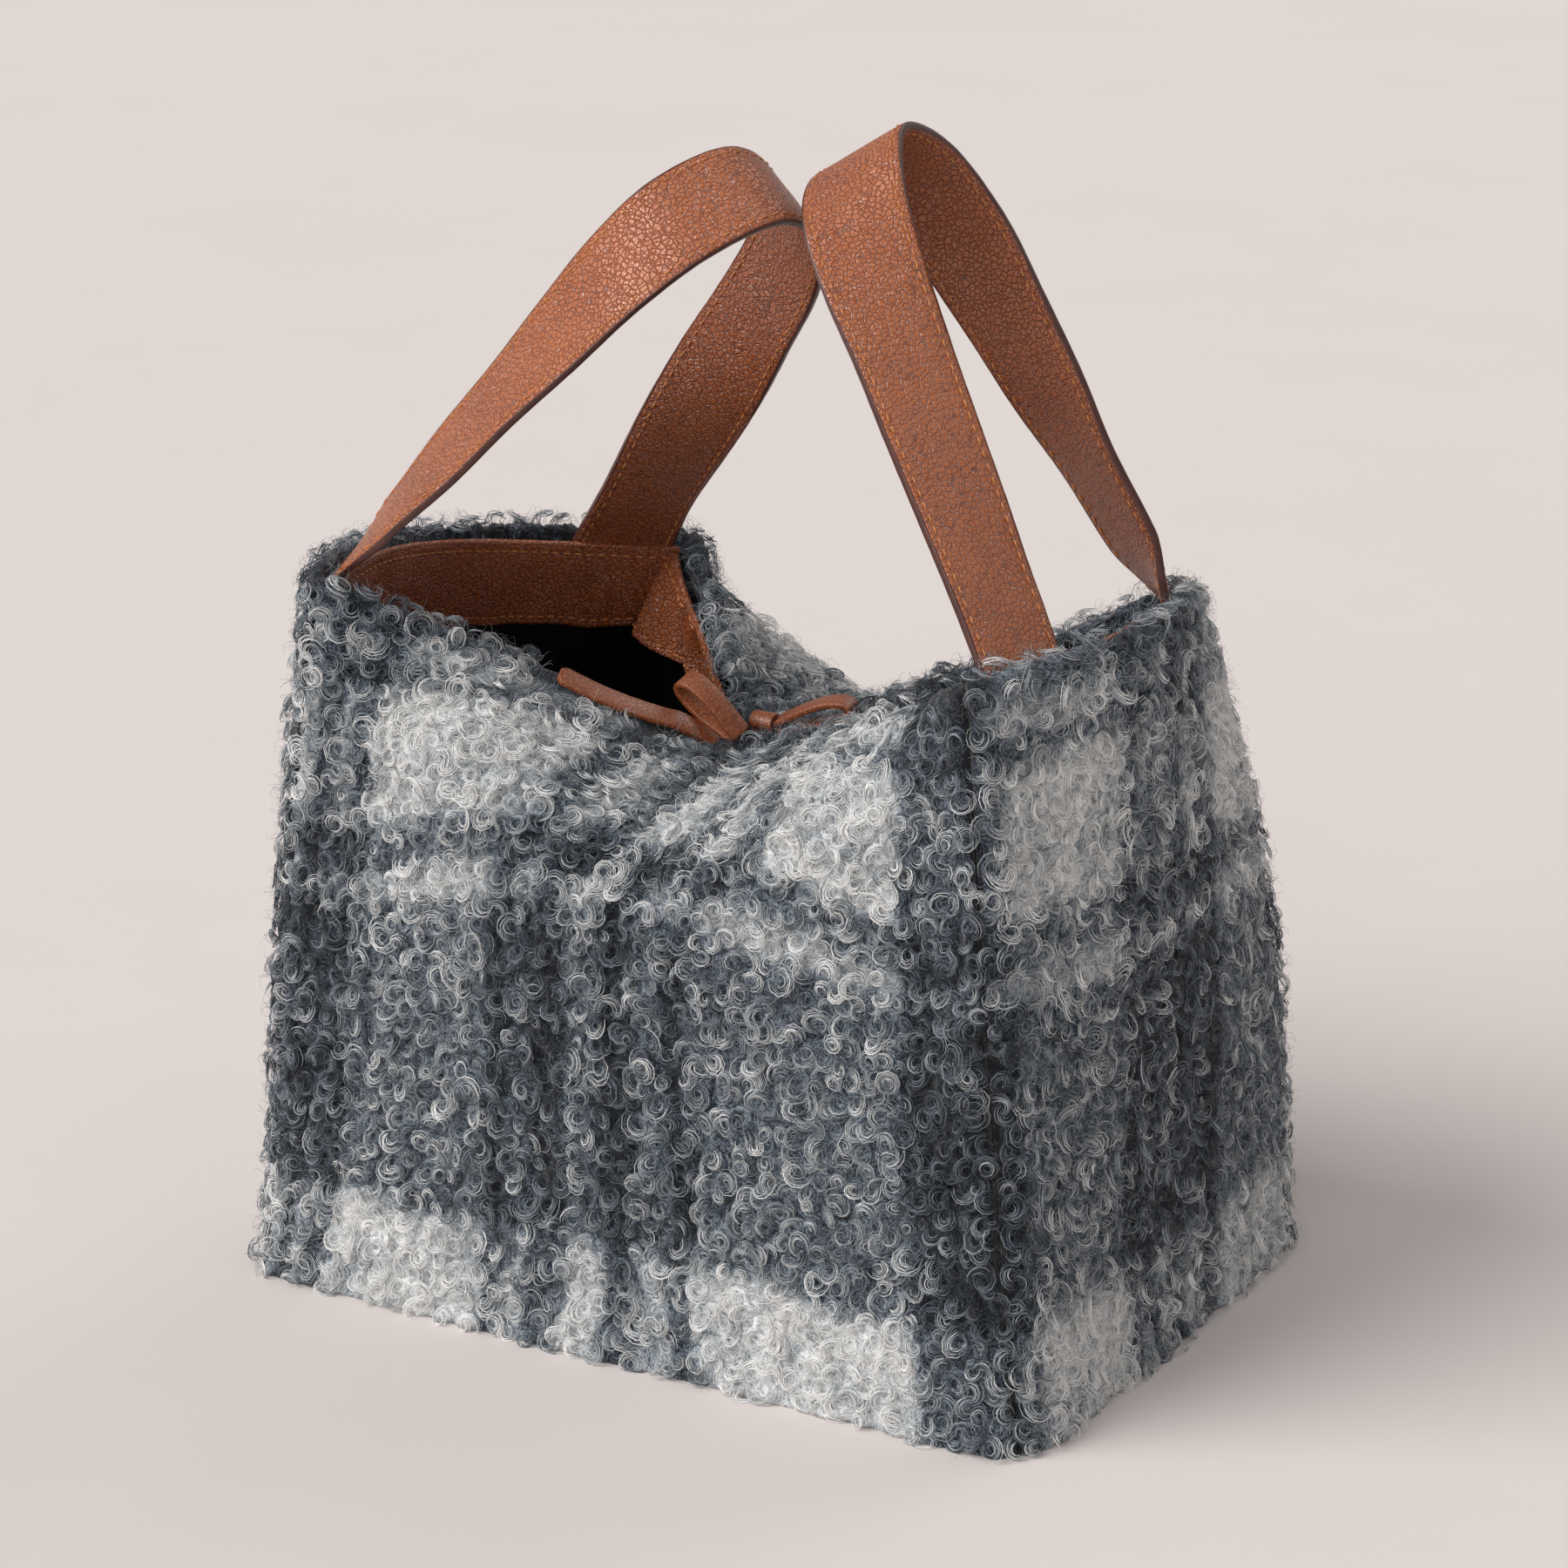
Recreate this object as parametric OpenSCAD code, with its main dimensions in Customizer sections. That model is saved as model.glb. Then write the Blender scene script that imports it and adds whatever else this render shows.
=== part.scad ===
// Knitting bag: a box body of looped wool cloth with a leather-faced rim, pinched shut at the
// middle by a leather bow, and two leather strap handles that lean inward over the mouth.
// Frame: +Z up, X left to right, Y front to back, origin at the middle of the base on the ground.
// Units: millimetres.

/* [Body] */
// Overall width of the base, left to right
base_w = 312; // [290:2:330]
// Overall depth of the base, front to back
base_d = 216; // [204:2:228]
// Height of the rim at the front left corner
rim_h = 251; // [240:1:262]
// How far the bottom edge kicks out from the wall
foot_flare = 6; // [0:1:8]
// Radius of the upright corners at the base
corner_r = 24; // [16:1:30]

/* [Pinched mouth] */
// Height of the rim where the bow holds it
pinch_h = 191; // [180:1:205]
// Half distance between the two rims at the bow
pinch_gap = 4; // [3.5:0.5:8]
// Height of the fold below the bow
crease_h = 176; // [160:1:182]
// Radius over which the cloth turns at the fold
crease_soft = 30; // [16:1:40]

/* [Cloth and leather] */
// Thickness of the looped wool cloth
wool_t = 6.5; // [4:0.5:7]
// Thickness of the padding behind the wool
pad_t = 1.5; // [1:0.1:1.6]
// Thickness of the lining
lining_t = 0.8; // [0.6:0.1:1]
// Thickness of the leather band inside the rim
facing_t = 1.3; // [1:0.1:1.6]
// Depth of the leather band inside the rim
facing_d = 35; // [25:1:45]

/* [Handles] */
// Width of the strap
strap_w = 35; // [28:1:38]
// Thickness of each of the two leathers of the strap
strap_leather = 1.2; // [0.8:0.1:1.4]
// Thickness of the core between them
strap_core = 0.6; // [0.4:0.1:0.8]
// Height of the handle along its own plane
handle_rise = 176; // [150:1:190]

/* [Bow] */
// Width of the tie
tie_w = 8; // [6:0.5:9]
// Thickness of the tie
tie_t = 2; // [1.4:0.1:2.4]

/* [Hidden] */

gap = 0.2;
wool_colour = "#5b6670";
pad_colour = "#d8d4cc";
board_colour = "#b79b72";
lining_colour = "#1d1d20";
leather_colour = "#8f4f2c";
core_colour = "#c9a27c";

// Depth of each layer below the outer face of the wall
pad_in = wool_t + gap;
lining_in = pad_in + pad_t + gap;
strap_in = wool_t + gap;
strap_t = 2 * strap_leather + strap_core + 0.2;
facing_in = strap_in + strap_t + 0.3;
// The band stops this far short of each corner seam
facing_trim = 12.5;
base_in = wool_t + 1;

// Corners in turn: front left, front right, back right, back left
corner_sign = [[-1, -1], [1, -1], [1, 1], [-1, 1]];
rim_corner = [[-123, -99, rim_h], [122, -96, rim_h - 2], [106, 93, rim_h - 17],
              [-81, 84, rim_h - 19]];
// Curve arms of the two bowed end rims, from their first and second corner
right_arms = [[28, 70, 1], [47, -58, 18]];
left_arms = [[-58, -62, 8], [-42, 79, -2]];
// Extra fullness of each corner half way up
corner_full = [5, 0, 16, 5];
pinch = [[-4, -pinch_gap, pinch_h], [-4, pinch_gap, pinch_h + 2]];
pinch_soft = 0.12;
flare_fade = 22;

function lerp(a, b, t) = a + (b - a) * t;
function unit(v) = v / max(norm(v), 1e-6);
function bezier3(a, b, c, d, t) =
    a * pow(1 - t, 3) + b * 3 * t * pow(1 - t, 2) + c * 3 * t * t * (1 - t) + d * pow(t, 3);
function next(i) = (i + 1) % 4;
function soft_abs(s) =
    (sqrt(s * s + pinch_soft * pinch_soft) - pinch_soft)
    / (sqrt(1 + pinch_soft * pinch_soft) - pinch_soft);

// Rectangle of the base, drawn in by a margin: corner i and a point along side i
function base_corner(i, margin) =
    [corner_sign[i][0] * (base_w / 2 - margin), corner_sign[i][1] * (base_d / 2 - margin), 0];
function base_point(i, t, margin) =
    lerp(base_corner(i, margin), base_corner(next(i), margin), t);

// Rim of side i: sides 0 and 2 run through the pinch, sides 1 and 3 bow outward
function rim_near(i, t) = 2 * t - 1 < 0 ? rim_corner[i] : rim_corner[next(i)];
function rim_pinched(i, t) =
    let (s = abs(2 * t - 1), p = pinch[i / 2], c = rim_near(i, t))
    [lerp(p[0], c[0], s), lerp(p[1], c[1], soft_abs(s)), lerp(p[2], c[2], soft_abs(s))];
function rim_bowed(i, t) =
    let (arms = i == 1 ? right_arms : left_arms, a = rim_corner[i], d = rim_corner[next(i)])
    bezier3(a, a + arms[0], d + arms[1], d, t);
function rim_point(i, t) = i % 2 == 0 ? rim_pinched(i, t) : rim_bowed(i, t);

// Fold point of a column: below the pinch the wall turns back over it
function fold_pinched(i, t) =
    let (s = abs(2 * t - 1), c = rim_near(i, t), r = rim_pinched(i, t),
         b = base_point(i, t, foot_flare), m = soft_abs(s))
    lerp([lerp(b[0], r[0], lerp(0.8, 1, s)),
          lerp(b[1], c[1], lerp(0.3, 1, m)),
          lerp(crease_h, c[2], m)],
         lerp(b, r, 0.85), pow(s, 4));
function fold_point(i, t) =
    i % 2 == 0 ? fold_pinched(i, t) : lerp(base_point(i, t, foot_flare), rim_point(i, t), 0.6);

// Column of side i at t, height fraction v measured along the cloth
function column(b, c, r, v) =
    let (l1 = norm(c - b), l2 = norm(r - c), f = min(crease_soft, 0.95 * l2, 0.5 * l1),
         a = v * (l1 + l2), d1 = unit(c - b), d2 = unit(r - c))
    a <= l1 - f ? b + d1 * a :
    a >= l1 + f ? c + d2 * (a - l1) :
    let (s = (a - l1 + f) / (2 * f))
    (c - d1 * f) * pow(1 - s, 2) + c * 2 * s * (1 - s) + (c + d2 * f) * s * s;
function side_raw(i, t, v) =
    let (b = base_point(i, t, foot_flare),
         p = column(b, fold_point(i, t), rim_point(i, t), v),
         full = corner_full[i] * pow(1 - t, 2) + corner_full[next(i)] * t * t)
    p + (base_point(i, t, 0) - b) * exp(-p[2] / flare_fade)
      + unit([b[0] * base_d / base_w, b[1] * 0.6, 0]) * full * 4 * v * (1 - v);

// Closed wall with rounded upright corners
function side_len(i) = i % 2 == 0 ? base_w : base_d;
function round_t(i, v) = lerp(corner_r, corner_r * 0.5, v) / side_len(i);
function round_corner(i, j, s, v) =
    side_raw(i, 1 - round_t(i, v), v) * pow(1 - s, 2) + side_raw(i, 1, v) * 2 * s * (1 - s)
    + side_raw(j, round_t(j, v), v) * s * s;
function wall_on(i, t, v) =
    let (q = round_t(i, v))
    t < q ? round_corner((i + 3) % 4, i, 0.5 + 0.5 * t / q, v) :
    t > 1 - q ? round_corner(i, next(i), 0.5 * (t - 1 + q) / q, v) :
    side_raw(i, t, v);
function wall_any(i, t, v) =
    t < 0 ? wall_on((i + 3) % 4, 1 + t * side_len(i) / side_len(i + 1), v) :
    t > 1 ? wall_on(next(i), (t - 1) * side_len(i) / side_len(i + 1), v) :
    wall_on(i, t, v);
function wall_normal(i, t, v) =
    let (dv = v > 0.5 ? -0.02 : 0.02, up = (wall_any(i, t, v + dv) - wall_any(i, t, v)) / dv,
         along = wall_any(i, t + 0.01, v) - wall_any(i, t - 0.01, v))
    unit(cross(along, up));
// The layers are pressed thinner where the bow pinches them
function press(i, t, v) =
    i % 2 == 0 ? 1 - 0.22 * exp(-pow((2 * t - 1) / 0.2, 2)) * pow(v, 6) : 1;
function wall_point(i, t, v, depth) =
    let (p = wall_any(i, t, v) - wall_normal(i, t, v) * depth * press(i, t, v))
    [p[0], p[1], max(p[2], 0)];

// Sheet between two matching grids of points; rows run along v, columns along t
function tri(a, b, c, d) = [[a, b, c], [a, c, d]];
function sheet_faces(nt, nv) =
    let (n = (nt + 1) * (nv + 1), w = nv + 1)
    [for (j = [0:nt - 1], k = [0:nv - 1],
          f = tri(j * w + k, j * w + k + 1, (j + 1) * w + k + 1, (j + 1) * w + k)) f,
     for (j = [0:nt - 1], k = [0:nv - 1],
          f = tri(n + j * w + k, n + (j + 1) * w + k, n + (j + 1) * w + k + 1, n + j * w + k + 1)) f,
     for (k = [0:nv - 1], f = tri(k, n + k, n + k + 1, k + 1)) f,
     for (k = [0:nv - 1], b = [nt * w + k],
          f = tri(b, b + 1, n + b + 1, n + b)) f,
     for (j = [0:nt - 1], b = [j * w], f = tri(b, b + w, n + b + w, n + b)) f,
     for (j = [0:nt - 1], b = [j * w + nv], f = tri(b, n + b, n + b + w, b + w)) f];
module sheet(outer, inner, nt, nv) {
    polyhedron(points = concat(outer, inner), faces = sheet_faces(nt, nv), convexity = 8);
}

// Height fraction where the lining meets the leather band
cloth_len = rim_h + 10;
facing_v = 1 - facing_d / cloth_len;

// Grid of the walls, the same for every layer so that the layers nest: columns evenly spaced
// between the seams, rows closer together at the bottom edge
flare_v = 0.09;
flare_rows = 3;
wall_rows = 14;
rim_rows = 17;
function across(j, nt, i, trim) = lerp(trim, side_len(i) - trim, j / nt) / side_len(i);
function upward(k) =
    k < flare_rows ? flare_v * k / flare_rows :
    k < wall_rows ? lerp(flare_v, facing_v, (k - flare_rows) / (wall_rows - flare_rows)) :
    lerp(facing_v, 1, (k - wall_rows) / (rim_rows - wall_rows));
function wall_grid(i, depth, from, to, nt, trim) =
    [for (j = [0:nt], k = [from:to]) wall_point(i, across(j, nt, i, trim), upward(k), depth)];
module wall_sheet(i, depth, thick, from, to, trim) {
    nt = i % 2 == 0 ? 20 : 14;
    sheet(wall_grid(i, depth, from, to, nt, trim), wall_grid(i, depth + thick, from, to, nt, trim),
          nt, to - from);
}

module wool(i) {
    color(wool_colour)
    wall_sheet(i, 0, wool_t, 0, rim_rows, 0.25);
}
module pad(i) {
    color(pad_colour)
    wall_sheet(i, pad_in, pad_t, 2, wall_rows, 0.25);
}
module lining(i) {
    color(lining_colour)
    wall_sheet(i, lining_in, lining_t, 2, wall_rows, 0.25);
}
module facing(i) {
    color(leather_colour)
    difference() {
        wall_sheet(i, facing_in, facing_t, wall_rows, rim_rows, facing_trim);
        wall_sheet((i + 1) % 4, facing_in - 0.15, facing_t + 0.3, wall_rows, rim_rows, facing_trim);
    }
}

// Base layers, lying inside the walls
module base_slab(z, thick, v) {
    translate([0, 0, z])
    linear_extrude(thick)
    polygon([for (i = [0:3], t = [0.04:0.08:0.97])
        let (p = wall_point(i, t, v, base_in)) [p[0], p[1]]]);
}
module base_wool() {
    color(wool_colour)
    base_slab(0, wool_t, 0.026);
}
module base_board() {
    color(board_colour)
    base_slab(wool_t + gap, 2, 0.04);
}
module base_lining() {
    color(lining_colour)
    base_slab(wool_t + 2 + 2 * gap, lining_t, 0.04);
}

// Open curve through control rows, evenly spaced in u from 0 to 1
function row(rows, k) = rows[min(max(k, 0), len(rows) - 1)];
function spline(rows, u) =
    let (x = u * (len(rows) - 1), k = min(floor(x), len(rows) - 2), s = x - k,
         a = row(rows, k - 1), b = row(rows, k), c = row(rows, k + 1), d = row(rows, k + 2))
    b + (c - a) * s / 2 + (a * 2 - b * 5 + c * 4 - d) * s * s / 2
      + (b * 3 - a - c * 3 + d) * s * s * s / 2;

// Handles. Each lies near a plane through its two feet that leans inward. Control rows, evenly
// spaced along the strap: position along the line of the feet (-1 and 1 are the feet) and height
// in the plane as a share of the rise.
handle_rows = [[-1, 0], [-0.9, 0.16], [-0.79, 0.31], [-0.68, 0.47], [-0.57, 0.62],
               [-0.45, 0.78], [-0.24, 0.92], [0.13, 1], [0.53, 0.94], [0.74, 0.8],
               [0.81, 0.64], [0.85, 0.48], [0.89, 0.32], [0.94, 0.16], [1, 0]];
// Turn of the strap about its own length at each row, in degrees (0 = square to the plane)
left_turn = [50, 45, 35, 30, 20, 10, 0, 0, 0, 5, 10, 30, 50, 65, 65];
right_turn = [-70, -70, -65, -60, -55, -40, -20, 0, 10, 5, -10, -20, -35, -40, -50];
// Feet on the rim: side of the bag and position along it
left_feet = [[3, 0.9], [3, 0.13]];
right_feet = [[1, 0.16], [1, 0.82]];
// Direction in which each handle leans up from its feet
left_lean = [109, 0, 142];
right_lean = [-94, 7, 144];
handle_steps = 42;
foot_r = 13;
foot_gap = 0.6;

function foot_point(f) = wall_point(f[0], f[1], 1, strap_in + strap_t / 2);
function feet_mid(feet) = (foot_point(feet[0]) + foot_point(feet[1])) / 2;
function feet_half(feet) = norm(foot_point(feet[1]) - foot_point(feet[0])) / 2;
function plane_x(feet) = unit(foot_point(feet[1]) - foot_point(feet[0]));
function plane_y(feet, lean) = unit(lean - plane_x(feet) * (lean * plane_x(feet)));
function plane_n(feet, lean) = cross(plane_x(feet), plane_y(feet, lean));
function handle_mid(feet, lean, u) =
    let (r = spline(handle_rows, u))
    feet_mid(feet) + plane_x(feet) * r[0] * feet_half(feet)
    + plane_y(feet, lean) * r[1] * handle_rise;
function handle_along(feet, lean, u) =
    unit(handle_mid(feet, lean, min(u + 0.01, 1)) - handle_mid(feet, lean, max(u - 0.01, 0)));
function handle_across(feet, lean, turn, u) =
    let (n = plane_n(feet, lean), a = spline([for (d = turn) [d]], u)[0])
    unit(n * cos(a) + cross(n, handle_along(feet, lean, u)) * sin(a));
function handle_grid(feet, lean, turn, depth) =
    [for (j = [0:handle_steps], k = [-1:1])
        let (u = j / handle_steps, w = handle_across(feet, lean, turn, u),
             n = cross(handle_along(feet, lean, u), w))
        handle_mid(feet, lean, u) + w * k * strap_w / 2 - n * depth];
module handle_layer(feet, lean, turn, from, to) {
    sheet(handle_grid(feet, lean, turn, from), handle_grid(feet, lean, turn, to),
          handle_steps, 2);
}

// Round bar along the line of the feet: everything within it stays with the bag
module feet_bar(feet, r) {
    a = foot_point(feet[0]) - plane_x(feet) * 30;
    d = foot_point(feet[1]) + plane_x(feet) * 30 - a;
    translate(a)
    rotate([0, acos(d[2] / norm(d)), atan2(d[1], d[0])])
    cylinder(h = norm(d), r = r, $fn = 64);
}
module handle_part(feet, lean, turn, from, to, tint) {
    color(tint)
    difference() {
        handle_layer(feet, lean, turn, from, to);
        feet_bar(feet, foot_r + foot_gap);
    }
}
module left_layer(from, to, tint) {
    handle_part(left_feet, left_lean, left_turn, from, to, tint);
}
module right_layer(from, to, tint) {
    handle_part(right_feet, right_lean, right_turn, from, to, tint);
}
outer_from = -strap_t / 2;
outer_to = outer_from + strap_leather;
core_from = outer_to + 0.1;
core_to = core_from + strap_core;
inner_from = core_to + 0.1;

// End of a strap: a tab sewn behind the leather band, and the length that rises from the rim
module strap_tab(f) {
    half = strap_w / 2 / 205;
    nv = 4;
    outer = [for (j = [0:4], k = [0:nv])
        wall_point(f[0], f[1] + half * (j / 2 - 1), lerp(facing_v + 0.01, 1, k / nv), strap_in)];
    inner = [for (j = [0:4], k = [0:nv])
        wall_point(f[0], f[1] + half * (j / 2 - 1), lerp(facing_v + 0.01, 1, k / nv),
                   strap_in + strap_t)];
    sheet(outer, inner, 4, nv);
}
module strap_end(feet, lean, turn, k) {
    i = feet[k][0];
    color(leather_colour)
    difference() {
        union() {
            strap_tab(feet[k]);
            intersection() {
                handle_layer(feet, lean, turn, -strap_t / 2, strap_t / 2);
                feet_bar(feet, foot_r);
                translate(foot_point(feet[k]))
                sphere(r = 34, $fn = 24);
            }
        }
        wall_sheet(i, -12, 12 + wool_t + 0.15, wall_rows - 1, rim_rows, 0.25);
        wall_sheet(i, facing_in - 0.15, 8, wall_rows, rim_rows, facing_trim);
        for (j = [1, 3])
        wall_sheet((i + j) % 4, facing_in - 0.15, facing_t + 0.3, wall_rows, rim_rows, facing_trim);
    }
}

// Bow. Two ties rise between the rims to the knot; a tail lies along the front rim.
knot = [pinch[0][0], 0, pinch_h + 7];
knot_size = [9, 9, 7];
tie_steps = 12;
module tie_strip(path, side, thick) {
    grid = function (o) [for (j = [0:tie_steps], k = [-1:2:1])
        let (u = j / tie_steps, p = spline(path, u),
             t = unit(spline(path, min(u + 0.02, 1)) - spline(path, max(u - 0.02, 0))))
        p + side * k * tie_w / 2 + cross(t, side) * o];
    sheet(grid(-thick / 2), grid(thick / 2), tie_steps, 1);
}
module rim_tie(sy) {
    y = tie_t / 2 + 0.5;
    z = pinch_h - facing_in * 0.78 - facing_t - tie_t;
    path = [[knot[0], sy * (y + 17), z - 3.4], [knot[0], sy * (y + 10), z - 2.2],
            [knot[0], sy * (y + 4), z - 0.8], [knot[0], sy * y, z + 3],
            [knot[0], sy * y, z + 8], [knot[0], sy * y, knot[2] - knot_size[2] / 2 - 0.3]];
    color(leather_colour)
    tie_strip(path, [sy, 0, 0], tie_t);
}
module tie_knot() {
    color(leather_colour)
    translate(knot - [knot_size[0] / 2, 0, 0])
    rotate([90, 0, 90])
    linear_extrude(knot_size[0])
    offset(r = 2.4, $fn = 32)
    square([knot_size[1] - 4.8, knot_size[2] - 4.8], center = true);
}
tail_t0 = 0.27;
tail_t1 = 0.455;
module left_tie_tail() {
    nt = 14;
    v0 = 1 - tie_w / cloth_len;
    outer = [for (j = [0:nt], k = [0:1])
        wall_point(0, lerp(tail_t0, tail_t1, j / nt), lerp(v0, 0.994, k), -1 - tie_t)];
    inner = [for (j = [0:nt], k = [0:1])
        wall_point(0, lerp(tail_t0, tail_t1, j / nt), lerp(v0, 0.994, k), -1)];
    color(leather_colour)
    sheet(outer, inner, nt, 1);
}
// Flattened teardrop of tie from the knot: reach along d, opening along n
module tie_loop(root, d, n, reach, open) {
    side = cross(n, d);
    m = 20;
    at = function (u) root + d * (reach * sin(180 * u)) + n * (open * sin(360 * u) / 2
        + (0.5 - u) * (tie_t + 0.6));
    grid = function (o) [for (j = [0:m], k = [-1:2:1])
        let (u = j / m, t = unit(at(u + 0.01) - at(u - 0.01)))
        at(u) + side * k * tie_w / 2 + cross(t, side) * o];
    color(leather_colour)
    sheet(grid(-tie_t / 2), grid(tie_t / 2), m, 1);
}
left_loop_dir = unit([-19, -5, 13]);
left_loop_up = unit(cross(left_loop_dir, cross([0.3, -0.75, 0.6], left_loop_dir)));
right_loop_dir = unit([25, 2, 10]);
right_loop_up = unit(cross(right_loop_dir, cross([-0.2, -0.3, 0.9], right_loop_dir)));
module left_tie_loop() {
    tie_loop(knot + [-knot_size[0] / 2 - 3, -0.5, 2.5], left_loop_dir, left_loop_up, 22, 7);
}
module right_tie_loop() {
    tie_loop(knot + [knot_size[0] / 2 + 3, 0, 1.5], right_loop_dir, right_loop_up, 26, 9);
}

wool(0);  // front_wool
wool(1);  // right_wool
wool(2);  // back_wool
wool(3);  // left_wool
base_wool();
pad(0);  // front_pad
pad(1);  // right_pad
pad(2);  // back_pad
pad(3);  // left_pad
base_board();
lining(0);  // front_lining
lining(1);  // right_lining
lining(2);  // back_lining
lining(3);  // left_lining
base_lining();
facing(0);  // front_facing
facing(1);  // right_facing
facing(2);  // back_facing
facing(3);  // left_facing
strap_end(left_feet, left_lean, left_turn, 0);  // left_front_strap_end
strap_end(left_feet, left_lean, left_turn, 1);  // left_back_strap_end
strap_end(right_feet, right_lean, right_turn, 0);  // right_front_strap_end
strap_end(right_feet, right_lean, right_turn, 1);  // right_back_strap_end
left_layer(outer_from, outer_to, leather_colour);  // left_handle_outer
left_layer(core_from, core_to, core_colour);  // left_handle_core
left_layer(inner_from, strap_t / 2, leather_colour);  // left_handle_inner
right_layer(outer_from, outer_to, leather_colour);  // right_handle_outer
right_layer(core_from, core_to, core_colour);  // right_handle_core
right_layer(inner_from, strap_t / 2, leather_colour);  // right_handle_inner
rim_tie(-1);  // front_tie
rim_tie(1);  // back_tie
tie_knot();
left_tie_tail();
left_tie_loop();
right_tie_loop();
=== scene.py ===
import math

import bmesh
import bpy
import numpy as np
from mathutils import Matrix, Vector


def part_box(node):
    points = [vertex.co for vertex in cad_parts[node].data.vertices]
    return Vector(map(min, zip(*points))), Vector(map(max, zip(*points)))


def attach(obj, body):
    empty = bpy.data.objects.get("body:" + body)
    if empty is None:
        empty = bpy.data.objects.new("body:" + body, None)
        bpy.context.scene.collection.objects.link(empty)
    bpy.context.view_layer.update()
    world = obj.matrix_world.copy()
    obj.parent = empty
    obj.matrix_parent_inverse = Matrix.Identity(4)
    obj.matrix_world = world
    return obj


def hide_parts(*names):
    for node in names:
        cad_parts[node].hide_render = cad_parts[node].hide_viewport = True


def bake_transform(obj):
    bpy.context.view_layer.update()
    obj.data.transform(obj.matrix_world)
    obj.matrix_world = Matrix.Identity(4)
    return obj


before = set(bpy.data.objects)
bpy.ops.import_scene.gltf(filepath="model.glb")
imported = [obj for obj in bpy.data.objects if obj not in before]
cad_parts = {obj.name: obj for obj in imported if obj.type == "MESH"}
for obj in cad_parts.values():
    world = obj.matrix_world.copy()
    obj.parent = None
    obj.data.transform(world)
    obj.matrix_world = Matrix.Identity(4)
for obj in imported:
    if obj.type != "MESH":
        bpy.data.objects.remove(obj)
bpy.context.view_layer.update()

MM = 0.001

# Shape of the bag, as in the CAD source, in millimetres. A depth is measured inward from the
# outer face of the wool. Sides and corners count from the front, and from its left corner.
BASE_W, BASE_D = 312, 216
CORNER_R = 24
FOOT_FLARE, FLARE_FADE = 6, 22
CREASE_H, CREASE_SOFT = 176, 30
PINCH_SOFT = 0.12
WOOL_T = 6.5
CLOTH_LEN = 261
PAD_IN, PAD_T = 6.75, 1.4
LINING_IN, LINING_T = 8.6, 0.7
STRAP_IN, STRAP_T, STRAP_W = 6.7, 3.2, 35
FACING_IN, FACING_T, FACING_D = 10.2, 1.3, 35
HANDLE_RISE = 176
SIGN = np.array([[-1, -1], [1, -1], [1, 1], [-1, 1]])
RIM_CORNER = np.array([[-123, -99, 251], [122, -96, 249], [106, 93, 234], [-81, 84, 232]], float)
BOW_ARMS = {1: np.array([[28, 70, 1], [47, -58, 18]]), 3: np.array([[-58, -62, 8], [-42, 79, -2]])}
CORNER_FULL = [5, 0, 16, 5]
PINCH = {0: np.array([-4.0, -4, 191]), 2: np.array([-4.0, 4, 193])}
SIDES = ["front", "right", "back", "left"]
BACK = 2


def unit(v):
    """Vectors at length 1."""
    return v / np.maximum(np.linalg.norm(v, axis=-1, keepdims=True), 1e-9)


def lerp(a, b, t):
    return a + (b - a) * t


def smooth(s):
    """Eased 0 to 1 step."""
    s = np.clip(s, 0, 1)
    return s * s * (3 - 2 * s)


def col(*parts):
    """Points from their coordinates."""
    return np.stack(np.broadcast_arrays(*parts), axis=-1)


def soft_abs(s):
    """Size of s with its corner at 0 rounded, still 0 at 0 and 1 at 1."""
    k = PINCH_SOFT
    return (np.sqrt(s * s + k * k) - k) / (np.sqrt(1 + k * k) - k)


def base_point(i, t, margin):
    """Foot of side i, t along it, a margin inside the outline of the base."""
    half = np.array([BASE_W / 2 - margin, BASE_D / 2 - margin])
    a, b = SIGN[i] * half, SIGN[(i + 1) % 4] * half
    p = lerp(a, b, t[..., None])
    return col(p[..., 0], p[..., 1], np.zeros_like(t))


def rim_point(i, t):
    """Rim of side i: the ends bow outward, front and back sink to the tie."""
    a, d = RIM_CORNER[i], RIM_CORNER[(i + 1) % 4]
    t = t[..., None]
    if i % 2:
        p, q = a + BOW_ARMS[i][0], d + BOW_ARMS[i][1]
        return a * (1 - t) ** 3 + p * 3 * t * (1 - t) ** 2 + q * 3 * t * t * (1 - t) + d * t**3
    s = np.abs(2 * t - 1)
    c = np.where(t < 0.5, a, d)
    m = soft_abs(s)
    p = PINCH[i]
    return np.concatenate(
        [lerp(p[0], c[..., :1], s), lerp(p[1], c[..., 1:2], m), lerp(p[2], c[..., 2:], m)], axis=-1)


def fold_point(i, t):
    """Where side i changes its slope on the way up; front and back crease inward."""
    b, r = base_point(i, t, FOOT_FLARE), rim_point(i, t)
    if i % 2:
        return lerp(b, r, 0.6)
    s = np.abs(2 * t - 1)
    c = np.where(t[..., None] < 0.5, RIM_CORNER[i], RIM_CORNER[(i + 1) % 4])
    m = soft_abs(s)
    p = col(lerp(b[..., 0], r[..., 0], lerp(0.8, 1, s)), lerp(b[..., 1], c[..., 1], lerp(0.3, 1, m)),
            lerp(CREASE_H, c[..., 2], m))
    return lerp(p, lerp(b, r, 0.85), (s**4)[..., None])


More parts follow.
